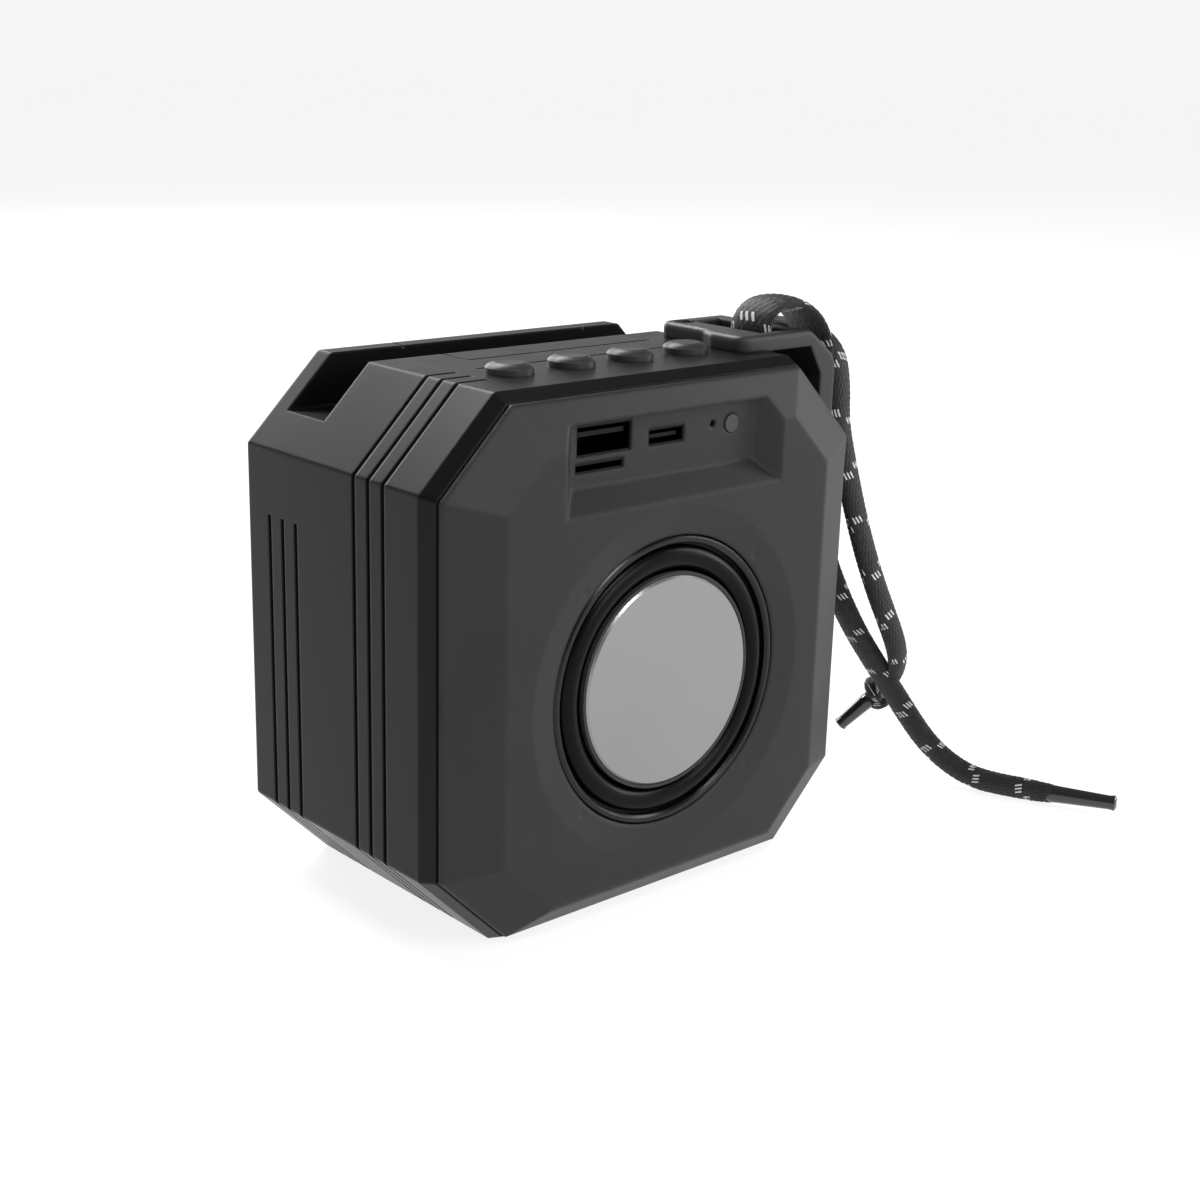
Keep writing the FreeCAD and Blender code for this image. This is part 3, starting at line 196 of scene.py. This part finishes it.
# Moulded plastic and rubber: a fine moulded grain, faint handling marks and uneven gloss.
def moulded(name, level, roughness, grain=0.00035, depth=0.00002, softened=0.0, uneven=0.10,
            spread=0.12, **constants):
    m = Finish(name, roughness, **constants)
    cloud, fine = m.noise(35, 4), m.noise(1 / grain, 2)
    smear = m.noise(120, 5, (1, 1, 0.35))
    m.feed("Base Color", m.ramp(cloud, (0.3, grey(level * (1 - spread))), (0.7, grey(level * (1 + spread)))))
    m.feed("Roughness", roughness + (smear - 0.5) * uneven + (fine - 0.5) * 0.08)
    m.bump(fine * 0.8 + smear * 0.2, depth, 0.6, softened)
    return m.material


# Bare or plated metal with drawn or turned marks along one axis.
def metal(name, colour, roughness, stretch=(1, 1, 1), scale=900, depth=0.000008, tarnish=0.12, **constants):
    m = Finish(name, roughness, Metallic=1.0, **constants)
    marks, cloud = m.noise(scale, 4, stretch), m.noise(60, 3)
    dull = tuple(c * (1 - tarnish) for c in colour[:3]) + (1.0,)
    m.feed("Base Color", m.mix(cloud, dull, colour))
    m.feed("Roughness", roughness + (marks - 0.5) * 0.18 + (cloud - 0.5) * 0.06)
    m.bump(marks, depth, 0.7)
    return m.material


def spunMetal(name, level, roughness, centre, pitch):
    # satin sheet with fine rings about the driver's axis
    m = Finish(name, roughness, Metallic=0.85)
    x, y, z = m.axes()
    across, rise = x - centre[0], z - centre[2]
    reach = m.node("ShaderNodeMath", {"operation": "SQRT"}, {0: across * across + rise * rise})
    rings = m.noise(2500, 2)
    ridges = (reach / pitch).wave() * 0.5 + 0.5
    m.feed("Base Color", m.ramp(m.noise(28, 3), (0.3, grey(level * 0.95)), (0.7, grey(level))))
    m.feed("Roughness", roughness + (ridges - 0.5) * 0.05 + (rings - 0.5) * 0.06)
    m.bump(ridges * 0.6 + rings * 0.4, 0.000004, 0.4)
    return m.material


def woundWire(name, colour, pitch):
    m = Finish(name, 0.32, Metallic=0.9)
    x, y, z = m.axes()
    turns = (y / pitch).wave() * 0.5 + 0.5
    dark = tuple(c * 0.45 for c in colour[:3]) + (1.0,)
    m.feed("Base Color", m.mix(turns, dark, colour))
    m.feed("Roughness", 0.42 - turns * 0.14)
    m.bump(turns, 0.00004)
    return m.material


def wovenCloth(name, colour, pitch):
    m = Finish(name, 0.85)
    x, y, z = m.axes()
    weave = (x / pitch).wave() * (z / pitch).wave() * 0.5 + 0.5
    dark = tuple(c * 0.6 for c in colour[:3]) + (1.0,)
    m.feed("Base Color", m.mix(weave, dark, colour))
    m.feed("Roughness", 0.92 - weave * 0.12)
    m.bump(weave + m.noise(900, 3) * 0.4, 0.00006)
    return m.material


def circuitBoard(name):
    m = Finish(name, 0.38)
    lanes = m.node("ShaderNodeTexVoronoi", {"distance": "MANHATTAN"},
                   {"Vector": m.place, "Scale": 420.0}, "Distance")
    tracks = lanes > 0.42
    m.feed("Base Color", m.mix(tracks, (0.010, 0.075, 0.030, 1), (0.018, 0.120, 0.050, 1)))
    m.feed("Roughness", 0.46 - tracks * 0.12)
    m.bump(tracks + m.noise(700, 2) * 0.2, 0.00003)
    return m.material


def floorFinish():
    m = Finish("paleFloor", 0.8, Emission_Color=grey(1.0), Emission_Strength=0.86, Specular_IOR_Level=0.1)
    m.feed("Base Color", m.ramp(m.noise(6, 2), (0.3, grey(0.19)), (0.7, grey(0.21))))
    m.bump(m.noise(900, 2), 0.00002, 0.3)
    return m.material


# editing helpers


def clearSelection():
    bpy.ops.object.select_all(action="DESELECT")


def makeFloor():
    clearSelection()
    bpy.ops.mesh.primitive_plane_add(size=40.0, location=(0, 0, -0.0001))
    floor = bpy.context.active_object
    floor.name = "floor"
    floor.data.materials.append(floorFinish())


def pickFaces(piece, wanted):
    bpy.ops.mesh.select_all(action="DESELECT")
    bpy.ops.object.mode_set(mode="OBJECT")
    for face in piece.data.polygons:
        face.select = bool(wanted(face))
    bpy.ops.object.mode_set(mode="EDIT")
    bpy.ops.mesh.select_mode(type="FACE")


def ring(piece, wanted, steps):
    # inset, then lift along the chosen direction, once for each step
    for inset, lift in steps:
        pickFaces(piece, wanted)
        bpy.ops.mesh.inset(thickness=inset, depth=0.0)
        bpy.ops.transform.translate(value=lift)


def settle(piece, matrix=None):
    if matrix is not None:
        piece.matrix_world = matrix
    clearSelection()
    piece.select_set(True)
    bpy.context.view_layer.objects.active = piece
    bpy.ops.object.transform_apply(location=True, rotation=True, scale=True)


def smooth(piece, degrees=35):
    clearSelection()
    piece.select_set(True)
    bpy.context.view_layer.objects.active = piece
    bpy.ops.object.shade_smooth_by_angle(angle=math.radians(degrees))


def fit(piece, body, slotName, material, *replaced):
    piece.data.materials.clear()
    piece.data.materials.append(material)
    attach(piece, body)
    if replaced:
        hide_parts(*replaced)
    return piece


# the cord

cordSettings = {
    "upper": [
        (0.0466, -0.0105, 0.0971), (0.0436, -0.0106, 0.0993), (0.0413, -0.0108, 0.1027),
        (0.0416, -0.0107, 0.1071), (0.0449, -0.0105, 0.1099), (0.0491, -0.0104, 0.1104),
        (0.0534, -0.0105, 0.1094), (0.0573, -0.0105, 0.1069), (0.0604, -0.0104, 0.1027),
        (0.0622, -0.0100, 0.0961), (0.0624, -0.0096, 0.0872), (0.0620, -0.0099, 0.0768),
        (0.0627, -0.0115, 0.0660), (0.0647, -0.0132, 0.0554), (0.0685, -0.0150, 0.0458),
        (0.0732, -0.0164, 0.0372), (0.0783, -0.0180, 0.0295), (0.0830, -0.0201, 0.0223),
        (0.0864, -0.0228, 0.0158), (0.0889, -0.0261, 0.0103), (0.0913, -0.0304, 0.0061),
        (0.0937, -0.0358, 0.0033), (0.0960, -0.0418, 0.0027), (0.0984, -0.0477, 0.0027),
        (0.1010, -0.0532, 0.0028),
    ],
    "lower": [
        (0.0472, -0.0052, 0.0968), (0.0475, -0.0019, 0.0967), (0.0481, 0.0024, 0.0967),
        (0.0492, 0.0069, 0.0971), (0.0505, 0.0108, 0.0977), (0.0534, 0.0140, 0.0988),
        (0.0579, 0.0147, 0.1006), (0.0618, 0.0120, 0.1019), (0.0642, 0.0075, 0.1025),
        (0.0656, 0.0026, 0.1027), (0.0668, -0.0021, 0.1025), (0.0677, -0.0066, 0.1015),
        (0.0677, -0.0109, 0.0982), (0.0663, -0.0137, 0.0922), (0.0653, -0.0149, 0.0842),
        (0.0663, -0.0168, 0.0753), (0.0679, -0.0186, 0.0659), (0.0699, -0.0205, 0.0567),
        (0.0725, -0.0223, 0.0481), (0.0756, -0.0235, 0.0409), (0.0785, -0.0238, 0.0353),
        (0.0811, -0.0230, 0.0307), (0.0831, -0.0211, 0.0266), (0.0845, -0.0184, 0.0233),
        (0.0854, -0.0156, 0.0206),
    ],
    # distance along, width and thickness of the flat braid
    "upperSections": [(0.0, 0.0104, 0.0030), (0.034, 0.0108, 0.0030), (0.050, 0.0060, 0.0036),
                      (0.150, 0.0062, 0.0036), (0.160, 0.0066, 0.0032), (0.170, 0.0042, 0.0034)],
    "lowerSections": [(0.0, 0.0070, 0.0030), (0.030, 0.0070, 0.0034), (0.060, 0.0062, 0.0036),
                      (0.135, 0.0060, 0.0036), (0.145, 0.0052, 0.0036)],
    "diameter": 0.0062, "strands": 20, "cell": 0.00125, "relief": 0.00024,
    "around": 80, "step": 0.00034, "fleckEvery": 0.0115,
}


def lineOf(name, points, cyclic=False):
    # the points that a smooth line through this route's control points gives
    data = bpy.data.curves.new(name, "CURVE")
    data.dimensions, data.resolution_u = "3D", 24
    spline = data.splines.new("NURBS")
    spline.points.add(len(points) - 1)
    for point, place in zip(spline.points, points):
        point.co = (*place, 1.0)
    spline.use_cyclic_u = cyclic
    spline.use_endpoint_u = not cyclic
    spline.order_u = 3
    holder = bpy.data.objects.new(name, data)
    scene.collection.objects.link(holder)
    bpy.context.view_layer.update()
    mesh = bpy.data.meshes.new_from_object(holder)
    line = [v.co.copy() for v in mesh.vertices]
    bpy.data.objects.remove(holder)
    bpy.data.meshes.remove(mesh)
    if cyclic:
        line.append(line[0].copy())
    return line


def spaced(line, step):
    # the same line again, at an even spacing
    lengths = [(b - a).length for a, b in zip(line, line[1:])]
    total = sum(lengths)
    count = max(8, round(total / step))
    points, index, passed = [], 0, 0.0
    for k in range(count + 1):
        along = total * k / count
        while index < len(lengths) - 1 and passed + lengths[index] < along:
            passed += lengths[index]
            index += 1
        share = min(1.0, (along - passed) / max(lengths[index], 1e-9))
        points.append(line[index].lerp(line[index + 1], share))
    return points, total


def between(table, along):
    for (a, *first), (b, *second) in zip(table, table[1:]):
        if along <= b:
            share = max(0.0, (along - a) / (b - a))
            share = share * share * (3 - 2 * share)
            return [p + (q - p) * share for p, q in zip(first, second)]
    return list(table[-1][1:])


def braidHeight(around, along, s):
    # strands cross at a slant, each over one and under the next
    p = around * s["strands"] + along / s["cell"] / 2
    q = around * s["strands"] - along / s["cell"] / 2
    over = (math.floor(p) + math.floor(q)) % 2 == 0
    across, run = (p % 1, q % 1) if over else (q % 1, p % 1)
    return math.sin(math.pi * across) ** 0.7 * (0.45 + 0.55 * math.sin(math.pi * run))


def braid(name, line, sections, wide, s, closed=False, floorAt=0.0002):
    # a woven tube along the line; its map is (share of the way round, metres along)
    centres, total = spaced(line, s["step"])
    rounds, vertices, faces = s["around"], [], []
    tangents = [(centres[min(k + 1, len(centres) - 1)] - centres[max(k - 1, 0)]).normalized()
                for k in range(len(centres))]
    side = Vector(wide)
    for k, (centre, tangent) in enumerate(zip(centres, tangents)):
        side = (side - tangent * side.dot(tangent)).normalized()
        flat = tangent.cross(side)
        along = total * k / (len(centres) - 1)
        width, thick = between(sections, along)
        for j in range(rounds):
            share = j / rounds
            c, n = math.cos(2 * math.pi * share), math.sin(2 * math.pi * share)
            lift = s["relief"] * (braidHeight(share, along, s) - 0.5)
            point = centre + side * c * (width / 2 + lift) + flat * n * (thick / 2 + lift)
            point.z = max(point.z, floorAt)
            vertices.append(point)
    count = len(centres)
    for k in range(count - 1):
        for j in range(rounds):
            other = (j + 1) % rounds
            faces.append((k * rounds + j, k * rounds + other, (k + 1) * rounds + other, (k + 1) * rounds + j))
    if not closed:
        faces.append(tuple(reversed(range(rounds))))
        faces.append(tuple((count - 1) * rounds + j for j in range(rounds)))
    mesh = bpy.data.meshes.new(name)
    mesh.from_pydata(vertices, [], faces)
    layer = mesh.uv_layers.new(name="braidMap")
    for face in mesh.polygons:
        wraps = any(mesh.loops[i].vertex_index % rounds == rounds - 1 for i in face.loop_indices)
        for i in face.loop_indices:
            index = mesh.loops[i].vertex_index
            j, k = index % rounds, index // rounds
            share = 1.0 if wraps and j == 0 and len(face.loop_indices) == 4 else j / rounds
            layer.data[i].uv = (share, total * k / (count - 1))
    piece = bpy.data.objects.new(name, mesh)
    scene.collection.objects.link(piece)
    mesh.update()
    smooth(piece, 60)
    return piece, centres, total


def braidFinish(s):
    # dark yarn with short pale flecks, three to a group
    m = Finish("braidedYarn", 0.55, Sheen_Weight=0.06, Sheen_Roughness=0.4, Specular_IOR_Level=0.30)
    chart = m.node("ShaderNodeUVMap", {"uv_map": "braidMap"}, {})
    split = m.tree.nodes.new("ShaderNodeSeparateXYZ")
    m.tree.links.new(chart.socket, split.inputs[0])
    around, along = Value(m, split.outputs[0]), Value(m, split.outputs[1])
    p = around * s["strands"] + along / (2 * s["cell"])
    q = around * s["strands"] - along / (2 * s["cell"])
    over = ((p.whole() + q.whole()) / 2).part() < 0.25
    group, lane = (p / 4).part(), p.part()
    stagger = ((p / 4).whole() / 2).part() * 0.30
    band = (along / s["fleckEvery"] + stagger).part() < 0.13
    fleck = band * (lane > 0.28) * (lane < 0.74) * (group < 0.75)
    thread = (p * 5).wave() * over + (q * 5).wave() * (1 - over)
    yarn = m.ramp(m.noise(900, 3), (0.3, grey(0.006)), (0.7, grey(0.016)))
    m.feed("Base Color", m.mix(fleck, yarn, (0.60, 0.60, 0.59, 1)))
    m.feed("Roughness", 0.50 + thread * 0.08)
    m.bump(thread * 0.5 + m.noise(3000, 2) * 0.5, 0.00005, 0.7)
    return m.material


endSettings = {
    "longOverlap": 0.0012, "longLength": 0.0147, "longRadius": 0.00175,
    "shortAhead": (-0.55, 0.45, -0.70), "shortStart": 0.0028, "shortLength": 0.0089, "shortRadius": 0.00165,
    "knotLoop": 0.00098, "knotPoints": 18, "knotCord": 0.0031,
}


def makeTip(name, start, ahead, length, radius, material, *replaced):
    # a glossy sealed end: a drawn-in collar, a plain sleeve and a rounded nose
    clearSelection()
    bpy.ops.mesh.primitive_cylinder_add(vertices=48, radius=radius, depth=length, location=(0, 0, length / 2))
    tip = bpy.context.active_object
    tip.name = name
    settle(tip)
    bpy.ops.object.mode_set(mode="EDIT")
    isNose = lambda f: f.normal.z > 0.9 and f.center.z > length * 0.9
    ring(tip, isNose, [(radius * 0.16, (0, 0, radius * 0.10)), (radius * 0.22, (0, 0, radius * 0.07)),
                       (radius * 0.28, (0, 0, radius * 0.03))])
    for height, swell in ((0.10, 1.12), (0.22, 0.97), (0.60, 0.94), (0.92, 0.90)):
        bpy.ops.mesh.select_all(action="SELECT")
        bpy.ops.mesh.bisect(plane_co=(0, 0, length * height), plane_no=(0, 0, 1))
        bpy.ops.transform.resize(value=(swell, swell, 1), center_override=(0, 0, 0))
    bpy.ops.object.mode_set(mode="OBJECT")
    modifier = tip.modifiers.new("softEdges", "BEVEL")
    modifier.width, modifier.segments, modifier.limit_method = radius * 0.08, 3, "ANGLE"
    bpy.ops.object.modifier_apply(modifier=modifier.name)
    turn = Vector(ahead).to_track_quat("Z", "Y").to_matrix().to_4x4()
    settle(tip, Matrix.Translation(Vector(start)) @ turn)
    smooth(tip, 40)
    return fit(tip, "housing", "tip_plastic", material, *replaced)


def makeCord(s):
    yarn = braidFinish(s)
    tipFinish = moulded("sealedTip", 0.012, 0.16, 0.0008, 0.000004, uneven=0.06, Coat_Weight=0.6)
    upper, upperPath, upperLength = braid("cord_upper_braid", lineOf("upperLine", s["upper"]),
                                          s["upperSections"], (0, 1, 0), s)
    lower, lowerPath, lowerLength = braid("cord_lower_braid", lineOf("lowerLine", s["lower"]),
                                          s["lowerSections"], (0.7, 0, 0.7), s)
    fit(upper, "housing", "cord_braid", yarn, "cord_upper")
    fit(lower, "housing", "cord_braid", yarn, "cord_lower")
    t = endSettings
    low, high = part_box("cord_knot")
    centre, loop = (low + high) / 2, t["knotLoop"]
    turns = [2 * math.pi * k / t["knotPoints"] for k in range(t["knotPoints"])]
    trefoil = [centre + loop * Vector((math.sin(a) + 2 * math.sin(2 * a), 1.1 * math.sin(3 * a),
                                       math.cos(a) - 2 * math.cos(2 * a))) for a in turns]
    knotSize = [(0.0, t["knotCord"], t["knotCord"]), (1.0, t["knotCord"], t["knotCord"])]
    knotShape = dict(s, strands=10, around=40)
    knot, _, _ = braid("cord_knot_braid", lineOf("knotLine", trefoil, True), knotSize, (0, 1, 0.2),
                       knotShape, True)
    fit(knot, "housing", "cord_braid", yarn, "cord_knot")
    end = Vector(s["upper"][-1])
    ahead = (end - Vector(s["upper"][-2])).normalized()
    longTip = makeTip("tip_long", end - ahead * t["longOverlap"], ahead, t["longLength"],
                      t["longRadius"], tipFinish, "cord_tip_long")
    low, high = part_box("cord_tip_short")
    outwards = Vector(t["shortAhead"]).normalized()
    shortTip = makeTip("tip_short", centre + outwards * t["shortStart"], outwards, t["shortLength"],
                       t["shortRadius"], tipFinish, "cord_tip_short")
    print("cord", round(upperLength, 4), round(lowerLength, 4))


# buttons, driver front

buttonSettings = {"crown": [(0.00035, 0.00040), (0.00055, 0.00030), (0.00075, 0.00018), (0.00080, 0.00008)]}


def makeButtons(s, material):
    for number in range(1, 5):
        name = f"button_{number}"
        low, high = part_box(name)
        rise = sum(lift for _, lift in s["crown"])
        radius, depth = (high.x - low.x) / 2, high.z - low.z - rise
        clearSelection()
        bpy.ops.mesh.primitive_cylinder_add(vertices=72, radius=radius, depth=depth,
                                            location=((low.x + high.x) / 2, (low.y + high.y) / 2,
                                                      low.z + depth / 2))
        button = bpy.context.active_object
        button.name = f"{name}_cap"
        settle(button)
        bpy.ops.object.mode_set(mode="EDIT")
        top = lambda f: f.normal.z > 0.9 and f.center.z > low.z + depth * 0.9
        ring(button, top, [(inset, (0, 0, lift)) for inset, lift in s["crown"]])
        bpy.ops.object.mode_set(mode="OBJECT")
        modifier = button.modifiers.new("softEdges", "BEVEL")
        modifier.width, modifier.segments, modifier.limit_method = 0.00030, 4, "ANGLE"
        bpy.ops.object.modifier_apply(modifier=modifier.name)
        smooth(button, 45)
        fit(button, f"{name}_key", "button_rubber", material, name)
    print("buttons")


rollSettings = {"inner": 0.0214, "outer": 0.0262, "flat": 0.82, "skin": 0.0005, "around": 180, "across": 40}


def makeRoll(s, material):
    # the front half of a ring, flattened a little and given its thickness
    low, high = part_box("surround_roll")
    centre = Vector(((low.x + high.x) / 2, high.y, (low.z + high.z) / 2))
    clearSelection()
    bpy.ops.mesh.primitive_torus_add(major_segments=s["around"], minor_segments=s["across"],
                                     major_radius=(s["inner"] + s["outer"]) / 2,
                                     minor_radius=(s["outer"] - s["inner"]) / 2 - s["skin"] / 4)
    roll = bpy.context.active_object
    roll.name = "surround_half_roll"
    bpy.ops.object.mode_set(mode="EDIT")
    bpy.ops.mesh.select_all(action="SELECT")
    bpy.ops.mesh.bisect(plane_co=(0, 0, 0), plane_no=(0, 0, 1), clear_inner=True)
    bpy.ops.mesh.select_all(action="SELECT")
    bpy.ops.transform.resize(value=(1, 1, s["flat"]), center_override=(0, 0, 0))
    bpy.ops.object.mode_set(mode="OBJECT")
    wall = roll.modifiers.new("wall", "SOLIDIFY")
    wall.thickness, wall.offset = s["skin"], -1
    bpy.ops.object.modifier_apply(modifier=wall.name)
    settle(roll, Matrix.Translation(centre) @ Matrix.Rotation(math.radians(90), 4, "X"))
    smooth(roll, 50)
    fit(roll, "housing", "seal_rubber", material, "surround_roll")
    print("surround")


# finishes for the parts that keep their own shape

shellBlack = moulded("shellBlack", 0.0026, 0.34, 0.0004, 0.000010, softened=0.0006, Specular_IOR_Level=0.17)
panelCoat = moulded("panelCoat", 0.0135, 0.46, 0.00030, 0.000016, softened=0.0013, Specular_IOR_Level=0.30)
buttonRubber = moulded("buttonRubber", 0.024, 0.42, 0.0003, 0.00001, Specular_IOR_Level=0.32)
lugRubber = moulded("lugRubber", 0.026, 0.42, 0.00035, 0.000016, softened=0.0010, Specular_IOR_Level=0.32)
rollRubber = moulded("rollRubber", 0.0016, 0.30, 0.0004, 0.000006, Specular_IOR_Level=0.10)
trimBlack = moulded("trimBlack", 0.003, 0.24, 0.0006, 0.000006, softened=0.0004, Specular_IOR_Level=0.30)
sealFoam = moulded("sealFoam", 0.030, 0.90, 0.0007, 0.00008)
partBlack = moulded("partBlack", 0.022, 0.42)
innerWhite = moulded("headerPlastic", 0.55, 0.50)
discSatin = spunMetal("discSatin", 0.30, 0.32, (0.0, 0.0, 0.045), 0.00045)
paperCone = wovenCloth("paperCone", (0.030, 0.030, 0.032, 1), 0.0009)
spiderCloth = wovenCloth("spiderCloth", (0.030, 0.027, 0.024, 1), 0.0007)
steelPlate = metal("steelPlate", (0.58, 0.58, 0.60, 1), 0.34)
screwSteel = metal("screwSteel", (0.50, 0.50, 0.52, 1), 0.30, scale=1400)
blackScrew = metal("blackScrew", (0.020, 0.020, 0.021, 1), 0.40, scale=1400)
socketMetal = metal("socketMetal", (0.018, 0.018, 0.019, 1), 0.36, (1, 0.1, 1))
canMetal = metal("canMetal", (0.62, 0.62, 0.63, 1), 0.28, (1, 1, 0.1))
formerMetal = metal("formerMetal", (0.66, 0.67, 0.69, 1), 0.30, (1, 0.1, 1))
ferrite = moulded("ferrite", 0.030, 0.66, 0.0005, 0.00003)
winding = woundWire("winding", (0.62, 0.26, 0.09, 1), 0.00035)
boardGreen = circuitBoard("boardGreen")
cellWrap = moulded("cellWrap", 0.16, 0.30, 0.0012, 0.00001)
lampClear = moulded("lampClear", 0.024, 0.34, 0.0008, 0.000006)

nodeFinish = {
    "housing_shell": shellBlack, "rear_cover": shellBlack, "rear_cover_screws": blackScrew,
    "front_panel": panelCoat, "front_panel_screws": screwSteel, "driver_gasket": sealFoam,
    "driver_trim_ring": trimBlack, "driver_basket": blackScrew, "driver_screws": screwSteel,
    "terminal_strip": partBlack, "surround_roll": rollRubber, "centre_disc": discSatin,
    "cone": paperCone, "coil_former": formerMetal, "voice_coil": winding, "spider": spiderCloth,
    "magnet_front_plate": steelPlate, "ring_magnet": ferrite, "yoke": steelPlate,
    "main_board": boardGreen, "board_screws": screwSteel, "usb_a_socket": socketMetal,
    "usb_c_socket": socketMetal, "card_socket": socketMetal, "microphone": canMetal,
    "lamp_lens": lampClear, "lamp_chip": innerWhite, "radio_module": canMetal,
    "amplifier_chip": partBlack, "capacitors": canMetal, "key_board": boardGreen,
    "key_switches": partBlack, "board_headers": innerWhite, "power_cell": cellWrap,
    "cell_holder": partBlack, "cell_contacts": formerMetal, "strap_lug": lugRubber,
    "lug_screw": blackScrew,
}


def finishNodes(table):
    for name, material in table.items():
        slots = nodes[name].material_slots
        if not slots:
            nodes[name].data.materials.append(material)
        for entry in slots:
            entry.material = material
    print("node finishes", len(table))


def makeWorld(horizon, overhead):
    world = bpy.data.worlds.new("studio")
    world.use_nodes = True
    # pale at the horizon and dimmer overhead, so that the lamps shape the object
    tree = world.node_tree
    coordinates = tree.nodes.new("ShaderNodeTexCoord")
    split = tree.nodes.new("ShaderNodeSeparateXYZ")
    ramp = tree.nodes.new("ShaderNodeValToRGB")
    tree.links.new(coordinates.outputs["Generated"], split.inputs[0])
    tree.links.new(split.outputs["Z"], ramp.inputs["Fac"])
    tree.links.new(ramp.outputs["Color"], tree.nodes["Background"].inputs["Color"])
    ramp.color_ramp.elements[0].position, ramp.color_ramp.elements[0].color = 0.10, grey(horizon)
    ramp.color_ramp.elements[1].position, ramp.color_ramp.elements[1].color = 0.30, grey(overhead)
    scene.world = world


makeCamera(cameraSettings)
for lampName, (place, target, width, height, watts) in lampSettings.items():
    makeLamp(lampName, place, target, width, height, watts)
makeWorld(0.92, 0.15)
makeFloor()
makeCord(cordSettings)
makeButtons(buttonSettings, buttonRubber)
makeRoll(rollSettings, rollRubber)
finishNodes(nodeFinish)
scene.view_settings.view_transform = "Standard"
